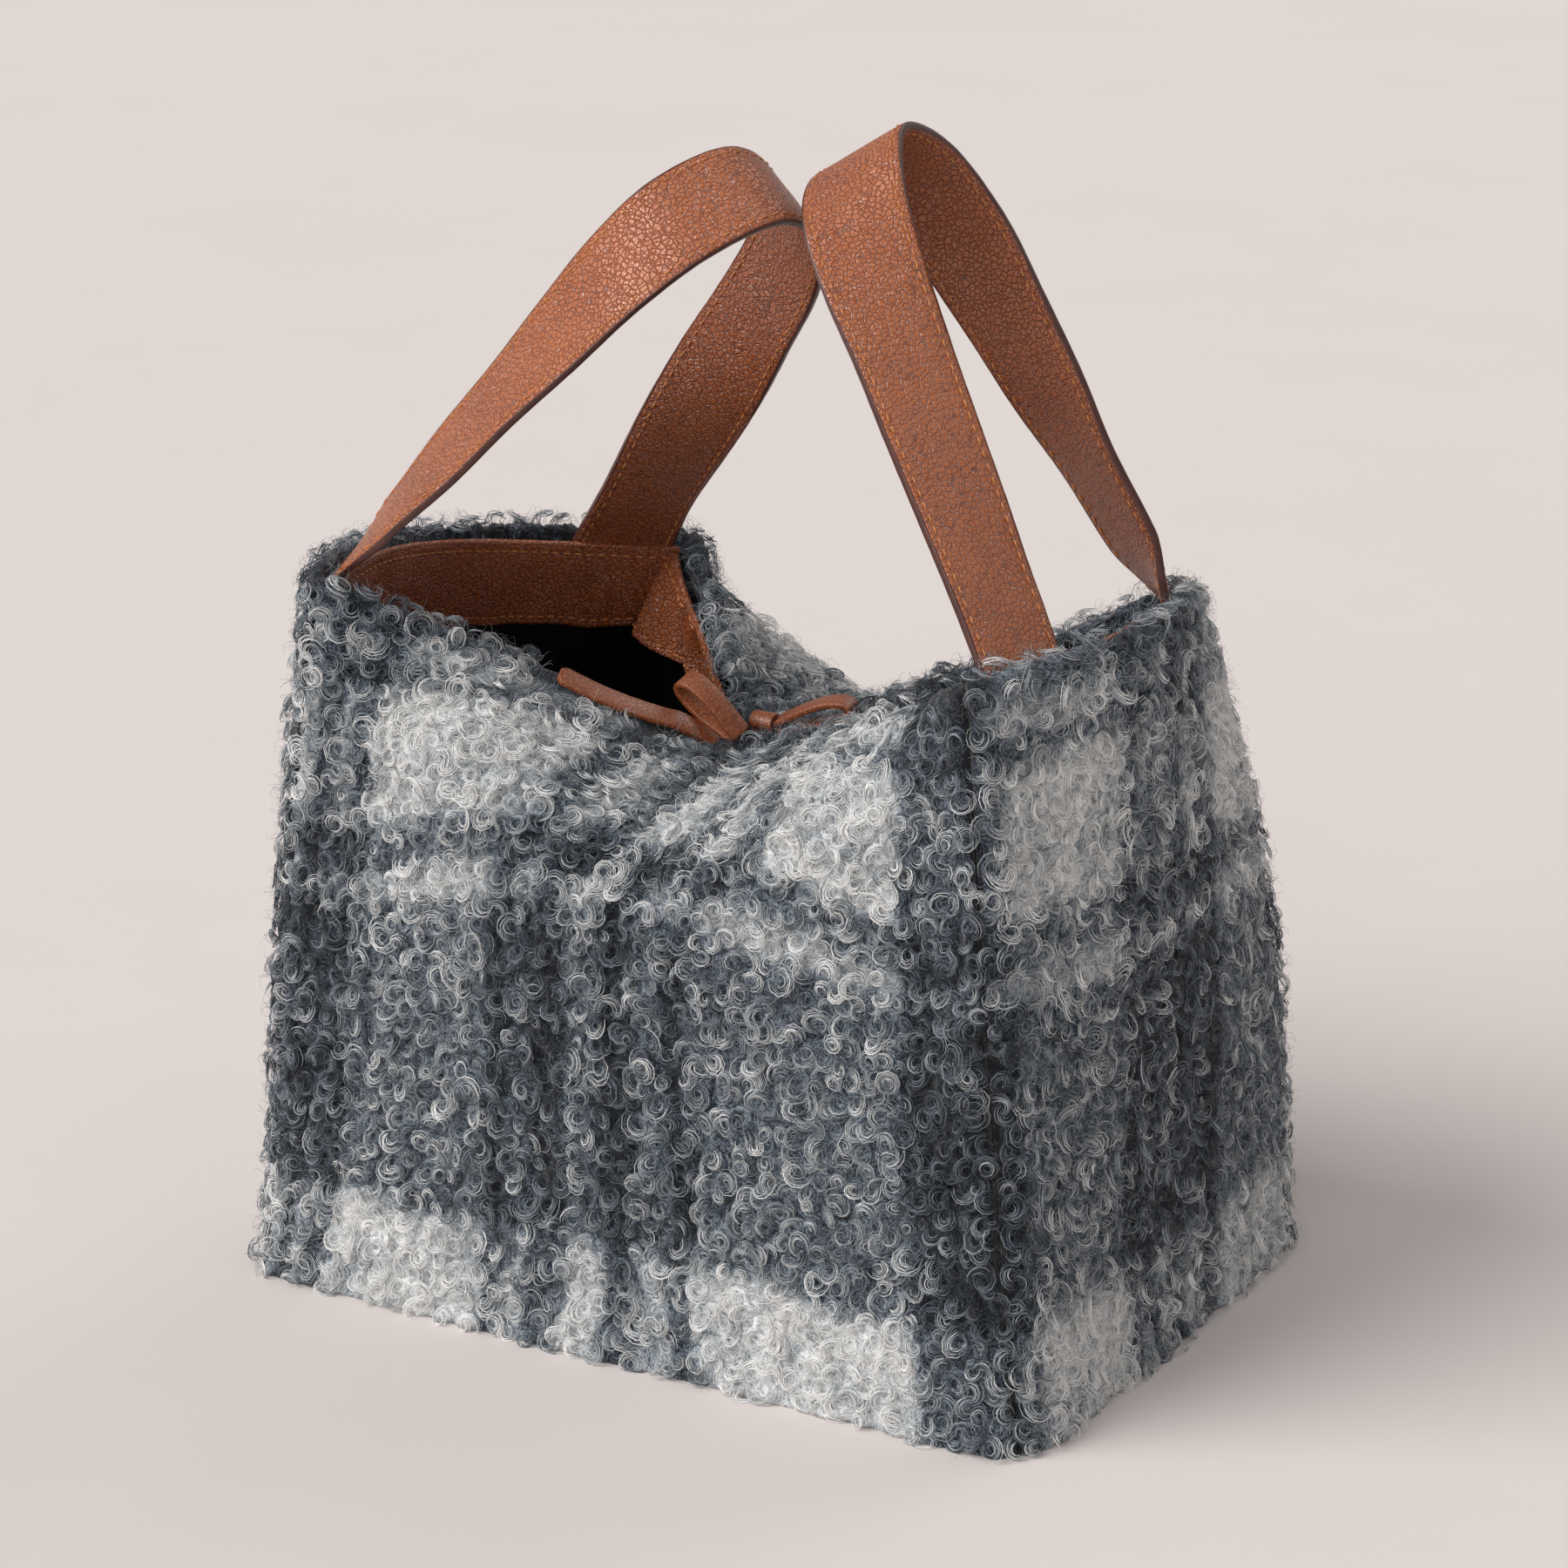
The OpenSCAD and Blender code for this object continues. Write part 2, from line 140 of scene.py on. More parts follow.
def column(b, c, r, v):
    """Point v up the line from b to r, with a soft bend at c."""
    l1 = np.linalg.norm(c - b, axis=-1)
    l2 = np.linalg.norm(r - c, axis=-1)
    f = np.minimum(CREASE_SOFT, np.minimum(0.95 * l2, 0.5 * l1))
    a = v * (l1 + l2)
    d1, d2 = unit(c - b), unit(r - c)
    s = np.clip((a - l1 + f) / (2 * f), 0, 1)[..., None]
    low = b + d1 * a[..., None]
    high = c + d2 * (a - l1)[..., None]
    f = f[..., None]
    bend = (c - d1 * f) * (1 - s) ** 2 + c * 2 * s * (1 - s) + (c + d2 * f) * s * s
    return np.where(s <= 0, low, np.where(s >= 1, high, bend))


def side_raw(i, t, v):
    """Outer face of side i before its corners are rounded."""
    b = base_point(i, t, FOOT_FLARE)
    p = column(b, fold_point(i, t), rim_point(i, t), v)
    full = CORNER_FULL[i] * (1 - t) ** 2 + CORNER_FULL[(i + 1) % 4] * t * t
    out = unit(col(b[..., 0] * BASE_D / BASE_W, b[..., 1] * 0.6, np.zeros_like(t)))
    p = p + (base_point(i, t, 0) - b) * np.exp(-p[..., 2:] / FLARE_FADE)
    return p + out * (full * 4 * v * (1 - v))[..., None]


def side_len(i):
    return BASE_D if i % 2 else BASE_W


def round_t(i, v):
    """Share of side i that its rounded corner takes at height v."""
    return lerp(CORNER_R, CORNER_R * 0.5, v) / side_len(i)


def round_corner(i, j, s, v):
    """Point s along the rounded corner from side i to side j."""
    one = np.ones_like(v)
    a, b = side_raw(i, 1 - round_t(i, v), v), side_raw(i, one, v)
    c = side_raw(j, round_t(j, v), v)
    s = s[..., None]
    return a * (1 - s) ** 2 + b * 2 * s * (1 - s) + c * s * s


def wall_on(i, t, v):
    """Outer face of side i between the middles of its two corners."""
    q = round_t(i, v)
    out = side_raw(i, np.clip(t, 0, 1), v)
    lo = round_corner((i - 1) % 4, i, 0.5 + 0.5 * t / q, v)
    hi = round_corner(i, (i + 1) % 4, 0.5 * (t - 1 + q) / q, v)
    out = np.where((t < q)[..., None], lo, out)
    return np.where((t > 1 - q)[..., None], hi, out)


def wall(i, t, v):
    """Outer face of side i; t runs on past 0 and 1 round the corners."""
    t, v = np.broadcast_arrays(np.asarray(t, float), np.asarray(v, float))
    ratio = side_len(i) / side_len(i + 1)
    out = wall_on(i, t, v)
    out = np.where((t < 0)[..., None], wall_on((i - 1) % 4, 1 + t * ratio, v), out)
    return np.where((t > 1)[..., None], wall_on((i + 1) % 4, (t - 1) * ratio, v), out)


def wall_normal(i, t, v):
    """Outward direction of side i."""
    t, v = np.broadcast_arrays(np.asarray(t, float), np.asarray(v, float))
    dv = np.where(v > 0.5, -0.02, 0.02)
    up = (wall(i, t, v + dv) - wall(i, t, v)) / dv[..., None]
    return unit(np.cross(wall(i, t + 0.01, v) - wall(i, t - 0.01, v), up))


def wall_point(i, t, v, depth):
    """Point at a depth behind the wool's face; the tie presses the layers thinner."""
    t, v = np.broadcast_arrays(np.asarray(t, float), np.asarray(v, float))
    press = 1.0
    if i % 2 == 0:
        press = 1 - 0.22 * np.exp(-(((2 * t - 1) / 0.2) ** 2)) * v**6
    return wall(i, t, v) - wall_normal(i, t, v) * (depth * press + 0 * t)[..., None]


# Meshes from arrays

def new_piece(name, verts, faces):
    """Mesh object from vertices in millimetres and a list of index arrays, one row a face."""
    me = bpy.data.meshes.new(name)
    me.vertices.add(len(verts))
    me.vertices.foreach_set("co", (np.asarray(verts) * MM).astype(np.float32).ravel())
    sizes = np.concatenate([np.full(len(f), f.shape[1]) for f in faces])
    loops = np.concatenate([np.asarray(f).ravel() for f in faces]).astype(np.int32)
    me.loops.add(len(loops))
    me.loops.foreach_set("vertex_index", loops)
    me.polygons.add(len(sizes))
    me.polygons.foreach_set("loop_start", (np.cumsum(sizes) - sizes).astype(np.int32))
    me.polygons.foreach_set("use_smooth", np.full(len(sizes), True))
    me.update(calc_edges=True)
    ob = bpy.data.objects.new(name, me)
    bpy.context.scene.collection.objects.link(ob)
    return ob


def set_values(ob, name, values):
    """Stores one number a vertex for the materials."""
    layer = ob.data.attributes.new(name, "FLOAT", "POINT")
    layer.data.foreach_set("value", np.asarray(values, np.float32).ravel())


def set_map(ob, uv):
    """Lays out the mesh for texture maps from one coordinate pair a vertex."""
    index = np.zeros(len(ob.data.loops), np.int32)
    ob.data.loops.foreach_get("vertex_index", index)
    layer = ob.data.uv_layers.new(name="OFBake")
    layer.data.foreach_set("uv", uv[index].astype(np.float32).ravel())


def finish_piece(ob, body, slot, material, *nodes):
    """Gives a piece its material, hides the CAD nodes it replaces, and puts it on a body when one is
    given; slot is not used.
    """
    ob.data.materials.clear()
    ob.data.materials.append(material)
    if nodes:
        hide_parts(*nodes)
    if body:
        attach(ob, body)
    return ob


def grid_faces(n, m, start=0, wrap=False):
    """Quads of an n by m grid of points; wrap joins the last column to the first."""
    j, k = np.meshgrid(np.arange(n if wrap else n - 1), np.arange(m - 1), indexing="ij")
    a, b = j * m + k, ((j + 1) % n) * m + k
    return np.stack([a, b, b + 1, a + 1], axis=-1).reshape(-1, 4) + start


def rim_faces(n, m):
    """Quads joining the edges of two n by m grids stacked one after the other."""
    s = n * m
    k, j = np.arange(m - 1), np.arange(n - 1) * m
    rows = [
        np.stack([k, k + 1, s + k + 1, s + k], -1),
        np.stack([(n - 1) * m + k + 1, (n - 1) * m + k, s + (n - 1) * m + k,
                  s + (n - 1) * m + k + 1], -1),
        np.stack([j + m, j, s + j, s + j + m], -1),
        np.stack([j + m - 1, j + 2 * m - 1, s + j + 2 * m - 1, s + j + m - 1], -1),
    ]
    return np.concatenate(rows)


def sheet_piece(name, outer, inner):
    """Closed sheet between two grids of points of the same size."""
    n, m = outer.shape[:2]
    verts = np.concatenate([outer.reshape(-1, 3), inner.reshape(-1, 3)])
    back = grid_faces(n, m, n * m)[:, ::-1]
    ob = new_piece(name, verts, [np.concatenate([grid_faces(n, m), back, rim_faces(n, m)])])
    u, v = np.meshgrid(np.linspace(0.01, 0.99, n), np.linspace(0.01, 0.485, m), indexing="ij")
    uv = np.stack([u, v], -1).reshape(-1, 2)
    set_map(ob, np.concatenate([uv, uv + [0, 0.5]]))
    return ob


def tubes(name, paths, radii, flat, ring=3, cells=False):
    """Closed tubes along paths (s, k, 3), their rings turned to the normals in flat (s, 1, 3).

    With cells, each tube gets its own square of the texture map.
    """
    s, k = paths.shape[:2]
    t = unit(np.gradient(paths, axis=1))
    b = unit(np.cross(t, flat))
    n = np.cross(b, t)
    turn = np.arange(ring) * 2 * np.pi / ring
    c, d = np.cos(turn)[:, None], np.sin(turn)[:, None]
    verts = paths[:, :, None] + radii[..., None, None] * (b[:, :, None] * c + n[:, :, None] * d)
    r, q, z = np.meshgrid(np.arange(ring), np.arange(k - 1), np.arange(s), indexing="ij")
    base = z * k * ring + q * ring
    quads = np.stack([base + r, base + (r + 1) % ring, base + ring + (r + 1) % ring,
                      base + ring + r], -1).reshape(-1, 4)
    first = (np.arange(s) * k * ring)[:, None]
    caps = np.concatenate([first + np.arange(ring)[::-1],
                           first + (k - 1) * ring + np.arange(ring)])
    ob = new_piece(name, verts.reshape(-1, 3), [quads, caps])
    if cells:
        side = int(np.ceil(np.sqrt(s)))
        corner = np.stack([np.arange(s) % side, np.arange(s) // side], -1)[:, None, None]
        u, v = np.meshgrid(np.linspace(0.15, 0.85, k), np.linspace(0.2, 0.8, ring), indexing="ij")
        uv = (corner + np.stack([u, v], -1)[None]) / side
        set_map(ob, uv.reshape(-1, 2))
    return ob


def tidy_normals(ob):
    """Turns all faces outward."""
    bm = bmesh.new()
    bm.from_mesh(ob.data)
    bmesh.ops.recalc_face_normals(bm, faces=bm.faces)
    bm.to_mesh(ob.data)
    bm.free()


def tube_piece(name, rings):
    """Closed tube through rings of points in millimetres, an array (rings, points, 3)."""
    n, m = rings.shape[:2]
    j, k = np.meshgrid(np.arange(n - 1), np.arange(m), indexing="ij")
    a, b = j * m + k, j * m + (k + 1) % m
    quads = np.stack([a, b, b + m, a + m], -1).reshape(-1, 4)
    caps = np.stack([np.arange(m)[::-1], (n - 1) * m + np.arange(m)])
    ob = new_piece(name, rings.reshape(-1, 3), [quads, caps])
    tidy_normals(ob)
    return ob


def noise1(x, seed, octaves=3):
    """Smooth repeatable wander of a coordinate, about -1 to 1."""
    rng = np.random.default_rng(seed)
    out = np.zeros_like(np.asarray(x, float))
    for k in range(octaves):
        out = out + np.sin(x * 2.0**k * rng.uniform(0.8, 1.2) + rng.uniform(0, 6.28)) / 1.6**k
    return out / 2


def noise2(x, y, seed, octaves=4):
    """Smooth repeatable wander over two coordinates, about -1 to 1."""
    rng = np.random.default_rng(seed)
    out = 0
    for k in range(octaves):
        for _ in range(3):
            a = rng.uniform(0, 6.28)
            f = 1.9**k
            out = out + np.sin((x * np.cos(a) + y * np.sin(a)) * f + rng.uniform(0, 6.28)) / 1.5**k
    return out / 4


# Materials

def new_material(name):
    m = bpy.data.materials.new(name)
    m.use_nodes = True
    return m, m.node_tree.nodes, m.node_tree.links, m.node_tree.nodes["Principled BSDF"]


def add(nodes, kind, **inputs):
    """New shader node with its input values set by name."""
    n = nodes.new(kind)
    for key, value in inputs.items():
        n.inputs[key].default_value = value
    return n


def place_of(nodes):
    return nodes.new("ShaderNodeTexCoord").outputs["Object"]


def attribute_of(nodes, name):
    n = nodes.new("ShaderNodeAttribute")
    n.attribute_name = name
    return n.outputs["Fac"]


def srgb(text, alpha=1.0):
    c = [int(text[k:k + 2], 16) / 255 for k in (1, 3, 5)]
    return [x / 12.92 if x <= 0.04045 else ((x + 0.055) / 1.055) ** 2.4 for x in c] + [alpha]


def ramp_of(nodes, stops):
    r = nodes.new("ShaderNodeValToRGB")
    e = r.color_ramp.elements
    while len(e) < len(stops):
        e.new(0.5)
    for k, (at, tint) in enumerate(stops):
        e[k].position = at
        e[k].color = srgb(tint)
    return r


def math_of(nodes, links, kind, a, b=None, c=None):
    """Result of a math node on sockets or numbers."""
    n = nodes.new("ShaderNodeMath")
    n.operation = kind
    for k, x in enumerate((a, b, c)):
        if x is None:
            continue
        if isinstance(x, (int, float)):
            n.inputs[k].default_value = x
        else:
            links.new(x, n.inputs[k])
    return n.outputs[0]


def paint(nodes, links, surface, value, stops):
    """Colours the surface from a value through a ramp."""
    ramp = ramp_of(nodes, stops)
    links.new(value, ramp.inputs["Fac"])
    links.new(ramp.outputs["Color"], surface.inputs["Base Color"])


def emboss(nodes, links, surface, height, strength, distance):
    """Raises the surface by a height; distance is in metres."""
    bump = add(nodes, "ShaderNodeBump", Strength=strength, Distance=distance)
    links.new(height, bump.inputs["Height"])
    links.new(bump.outputs["Normal"], surface.inputs["Normal"])


WOOL_STOPS = [(0.0, "#0e1217"), (0.2, "#37414d"), (0.4, "#6f7a85"), (0.62, "#a6acb0"),
              (0.85, "#d4d6d6"), (1.0, "#f2f2f1")]


def fibre_material():
    m, nodes, links, p = new_material("wool_fibre")
    paint(nodes, links, p, attribute_of(nodes, "tone"), WOOL_STOPS)
    p.inputs["Roughness"].default_value = 0.55
    p.inputs["Sheen Weight"].default_value = 0.25
    p.inputs["Sheen Roughness"].default_value = 0.4
    p.inputs["Specular IOR Level"].default_value = 0.35
    return m


def pile_material():
    """Ground of the pile: rings of fine fibre round each curl, seen between the loops."""
    m, nodes, links, p = new_material("wool_pile")
    place = place_of(nodes)
    fibre = add(nodes, "ShaderNodeTexNoise", Scale=260.0, Detail=3.0, Roughness=0.65)
    fibre.noise_dimensions = "4D"
    links.new(place, fibre.inputs["Vector"])
    ring = math_of(nodes, links, "MULTIPLY", attribute_of(nodes, "ring"), 0.03)
    links.new(ring, fibre.inputs["W"])
    fine = add(nodes, "ShaderNodeTexNoise", Scale=1500.0, Detail=2.0)
    links.new(place, fine.inputs["Vector"])
    streak = math_of(nodes, links, "MULTIPLY_ADD", fibre.outputs["Fac"], 1.5, -0.75)
    speck = math_of(nodes, links, "MULTIPLY_ADD", fine.outputs["Fac"], 0.8, -0.4)
    both = math_of(nodes, links, "ADD", streak, speck)
    tone = math_of(nodes, links, "ADD", attribute_of(nodes, "tone"), both)
    paint(nodes, links, p, tone, WOOL_STOPS)
    emboss(nodes, links, p, both, 0.8, 0.0006)
    p.inputs["Roughness"].default_value = 0.8
    p.inputs["Sheen Weight"].default_value = 0.3
    p.inputs["Specular IOR Level"].default_value = 0.2
    return m


def leather_cells(nodes, links, place, scale, flat_from):
    """Rounded cells of a grain: 0 in the creases, level on the tops."""
    cell = add(nodes, "ShaderNodeTexVoronoi", Scale=scale)
    cell.feature = "DISTANCE_TO_EDGE"
    links.new(place, cell.inputs["Vector"])
    return math_of(nodes, links, "MINIMUM", cell.outputs["Distance"], flat_from)


def leather_material(name, dark, mid, light, grain=1.0, rough=0.33):
    """Pebbled leather: small rounded cells coloured from their height, with painted shade in the
    creases and a painted highlight on their tops.
    """
    m, nodes, links, p = new_material(name)
    place = place_of(nodes)
    wander = add(nodes, "ShaderNodeTexNoise", Scale=140.0, Detail=2.0)
    links.new(place, wander.inputs["Vector"])
    warped = nodes.new("ShaderNodeVectorMath")
    warped.operation = "MULTIPLY_ADD"
    links.new(wander.outputs["Color"], warped.inputs[0])
    warped.inputs[1].default_value = (0.0016, 0.0016, 0.0016)
    links.new(place, warped.inputs[2])
    large = leather_cells(nodes, links, warped.outputs[0], 520.0, 0.15)
    small = leather_cells(nodes, links, warped.outputs[0], 1050.0, 0.13)
    height = math_of(nodes, links, "MULTIPLY_ADD", small, 0.45, large)
    broad = add(nodes, "ShaderNodeTexNoise", Scale=38.0, Detail=4.0, Roughness=0.6)
    links.new(place, broad.inputs["Vector"])
    # Painted shade and highlight: the grain's height sets the colour, darker in the creases and lighter
    # on the cell tops.
    tint = math_of(nodes, links, "MULTIPLY_ADD", height, 2.5, -0.06)
    tone = math_of(nodes, links, "MULTIPLY_ADD", broad.outputs["Fac"], 0.32, tint)
    paint(nodes, links, p, tone, [(0.1, dark), (0.45, mid), (0.85, light)])
    emboss(nodes, links, p, height, grain, 0.0018)
    gloss = math_of(nodes, links, "MULTIPLY_ADD", broad.outputs["Fac"], 0.16, rough - 0.08)
    links.new(gloss, p.inputs["Roughness"])
    p.inputs["Specular IOR Level"].default_value = 0.95
    return m


def smooth_material(name, tint, other, rough, scale, bump):
    """Matt or satin surface with fine mottling of its colour."""
    m, nodes, links, p = new_material(name)
    noise = add(nodes, "ShaderNodeTexNoise", Scale=scale, Detail=5.0, Roughness=0.65)
    links.new(place_of(nodes), noise.inputs["Vector"])
    paint(nodes, links, p, noise.outputs["Fac"], [(0.3, tint), (0.7, other)])
    emboss(nodes, links, p, noise.outputs["Fac"], bump, 0.0004)
    p.inputs["Roughness"].default_value = rough
    return m


def woven_material(name, tint, other, threads, rough):
    """Plain weave from two crossing waves."""
    m, nodes, links, p = new_material(name)
    place = place_of(nodes)
    waves = []
    for axis in ("Z", "DIAGONAL"):
        w = add(nodes, "ShaderNodeTexWave", Scale=threads, Distortion=0.6, Detail=1.0)
        w.bands_direction = axis
        links.new(place, w.inputs["Vector"])
        waves.append(w.outputs["Fac"])
    height = math_of(nodes, links, "MULTIPLY", waves[0], waves[1])
    paint(nodes, links, p, height, [(0.0, tint), (1.0, other)])
    emboss(nodes, links, p, height, 0.3, 0.0003)
    p.inputs["Roughness"].default_value = rough
    p.inputs["Specular IOR Level"].default_value = 0.25
    return m


# Wool

WARP = {  # light stripes up the cloth of each side: from, to (mm from its first seam), strength
    0: [(-2, 11, 0.8), (20, 27, 0.6), (36, 100, 1.0), (109, 119, 0.7), (133, 149, 0.9),
        (163, 178, 0.8), (187, 274, 1.0)],
    1: [(5, 10, 0.3), (13, 76, 1.0), (84, 90, 0.7), (98, 106, 0.75), (119, 128, 0.8),
        (144, 204, 1.0)],
    2: [(14, 76, 1.0), (86, 96, 0.5), (110, 126, 0.75), (140, 152, 0.6), (162, 246, 1.0),
        (256, 264, 0.5), (280, 296, 0.7)],
    3: [(-2, 22, 0.8), (34, 44, 0.55), (56, 72, 0.7), (84, 94, 0.5), (104, 178, 1.0),
        (188, 196, 0.5)],
}
WEFT = [(-5, 39, 1.0), (152, 164, 0.85), (181, 235, 1.0), (243, 254, 0.7)]


def stripe(x, lo, hi, soft):
    """Strength of a stripe from lo to hi with soft edges."""
    return 1 / (1 + np.exp(-(x - lo) / soft)) - 1 / (1 + np.exp(-(x - hi) / soft))


def plaid(i, x, y):
    """Tone of the plaid, 0 dark to 1 white, at x, y millimetres on the cloth of side i."""
    if i % 2 == 0:  # the tie drags the top of the front and back cloth sideways
        lean = np.where(x < 215, 108.0, 35.0)
        x = x - 37 * np.exp(-(((x - 215) / lean) ** 2)) * smooth((y - 140) / 60)
    x = x + 2.4 * noise2(x / 9, y / 9, 11) + 1.2 * noise2(x / 3, y / 3, 12)
    y = y + 2.4 * noise2(x / 9, y / 9, 13) + 1.2 * noise2(x / 3, y / 3, 14)
    warp = sum(s * stripe(x, lo, hi, 1.3) for lo, hi, s in WARP[i])
    weft = sum(s * stripe(y, lo, hi, 1.5) for lo, hi, s in WEFT)
    tone = 0.12 + 0.31 * warp + 0.23 * weft + 0.33 * warp * weft
    cloud = 0.05 + 0.11 * warp * weft
    return tone + cloud * noise2(x / 11, y / 11, 15)


def wool_frame(i, t, e):
    """Outer face of side i's wool e mm up the cloth, rolling over the rim past its end."""
    t, e = np.broadcast_arrays(np.asarray(t, float), np.asarray(e, float))
    v = np.clip(e / CLOTH_LEN, 0, 1)
    out = wall_normal(i, t, v)
    along = unit(wall(i, t + 0.01, v) - wall(i, t - 0.01, v))
    up = np.cross(out, along)
    r = WOOL_T / 2
    phi = np.maximum(e - CLOTH_LEN, 0)[..., None] / r
    turned = out * np.cos(phi) + up * np.sin(phi)
    over = wall_point(i, t, np.ones_like(v), r) + turned * r
    p = np.where(phi > 0, over, wall(i, t, v))
    return p, turned, along, np.cross(turned, along)


def seam_fade(x, length, width):
    """0 at the seams at both ends of a side, 1 away from them."""
    return 1 - np.exp(-((np.minimum(x, length - x) / width) ** 2))


CURL_STEP = 7.0
CURL_ROW = CURL_STEP * 0.87
GROUND_STEP = 1.35
ROLL = WOOL_T / 2 * 2.5  # cloth that rolls over the rim
LOWEST = 0.15  # keeps the pile just above the floor


def off_cloth(start, dx, dy, h):
    """Paths from places given by wool_frame: dx along the cloth, dy up it, h out from it."""
    p, out, along, up = start
    return (p[:, None] + along[:, None] * dx[..., None] + up[:, None] * dy[..., None]
            + out[:, None] * h[..., None])


def under_tail(i, x, y):
    """Where the tie's tail lies on the front, and the pile is pressed flat."""
    return (i == 0) & (x > 78) & (x < 150) & (y > 245.5)


def curl_centres(i, rng):
    """Places of the curls of side i: along and up the cloth in mm, and their radius."""
    length = side_len(i)
    rows = int((CLOTH_LEN + ROLL - 1) / CURL_ROW)
    cols = int(length / CURL_STEP)
    r, c = np.meshgrid(np.arange(rows), np.arange(cols), indexing="ij")
    x = (c + 0.5 + 0.5 * (r % 2) - 0.25) * length / cols + rng.normal(0, 1.5, r.shape)
    y = 3 + r * CURL_ROW + rng.normal(0, 1.4, r.shape)
    x, y = x.ravel(), y.ravel()
    keep = (x > 1.4) & (x < length - 1.4) & (y > 1.5) & ~under_tail(i, x, y)
    x, y = x[keep], y[keep]
    radius = np.clip(rng.normal(3.9, 0.8, x.shape), 2.2, 5.4)
    radius = np.minimum(radius, np.minimum(x, length - x) + 1.6)
    return x, y, radius


def nearest_curl(x, y, centres):
    """Distance to the nearest curl centre over its radius, on a grid of x by y."""
    cx, cy, radius = centres
    far, size = 9.0, 12.0
    best = np.full(x.shape, far)
    bins = {}
    for k, key in enumerate(zip((cx // size).astype(int), (cy // size).astype(int))):
        bins.setdefault(key, []).append(k)
    gx, gy = (x // size).astype(int), (y // size).astype(int)
    code = gx * 1000 + gy
    order = np.argsort(code, axis=None)
    flat = code.ravel()[order]
    edges = np.flatnonzero(np.diff(flat)) + 1
    for part in np.split(order, edges):
        a, b = gx.ravel()[part[0]], gy.ravel()[part[0]]
        near = [k for u in (-1, 0, 1) for w in (-1, 0, 1) for k in bins.get((a + u, b + w), [])]
        if not near:
            continue
        dx = x.ravel()[part][:, None] - cx[near]
        dy = y.ravel()[part][:, None] - cy[near]
        best.ravel()[part] = (np.hypot(dx, dy) / radius[near]).min(axis=1)
    return best


def build_pile(i, centres, material):
    """The ground of one wool panel: a closed sheet, its outer face raised into curls."""
    length = side_len(i)
    n, m = int(length / GROUND_STEP), int((CLOTH_LEN + ROLL) / GROUND_STEP)
    x = np.linspace(0.4, length - 0.4, n)[:, None]
    y = np.linspace(0.3, CLOTH_LEN + ROLL, m)[None]
    x, y = np.broadcast_arrays(x, y)
    p, out, _, _ = wool_frame(i, x / length, y)
    ring = nearest_curl(x, y, centres)
    lump = 2.1 * np.exp(-(((ring - 0.62) / 0.38) ** 2)) - 1.2
    lump = lump + 0.7 * noise2(x / 6, y / 6, 21)
    lump = np.where(under_tail(i, x, y), np.minimum(lump, -0.5), lump)
    fade = seam_fade(x, length, 2.2)
    lift = lump * fade - 2.6 * (1 - fade) * np.clip((CLOTH_LEN + 3 - y) / 12, 0.3, 1)
    outer = p + out * lift[..., None]
    outer[..., 2] = np.maximum(outer[..., 2], LOWEST)
    roll = np.clip((y - CLOTH_LEN) / ROLL, 0, 1)
    inner = wall_point(i, x / length, np.clip(y / CLOTH_LEN, 0, 0.985), WOOL_T - 0.1 - 1.2 * roll)
    inner[..., 2] = np.maximum(inner[..., 2], LOWEST)
    ob = sheet_piece(SIDES[i] + "_wool_pile", outer, inner)
    # Painted shade: the ground is darker than the plaid (0.85 times, less 0.08) under and between the
    # curls, darker still in the dip at the seams and far from any curl centre.
    tone = 0.85 * plaid(i, x, y) - 0.08 - 0.3 * (1 - fade) - 0.2 * np.clip(ring - 0.85, 0, 1)
    both = np.concatenate([tone.ravel(), tone.ravel() * 0 + 0.1])
    set_values(ob, "tone", both)
    set_values(ob, "ring", np.concatenate([ring.ravel(), ring.ravel()]))
    return finish_piece(ob, "bag", "wool", material, SIDES[i] + "_wool")


STRANDS, STEPS = 10, 8  # strands in a lock, points along a strand


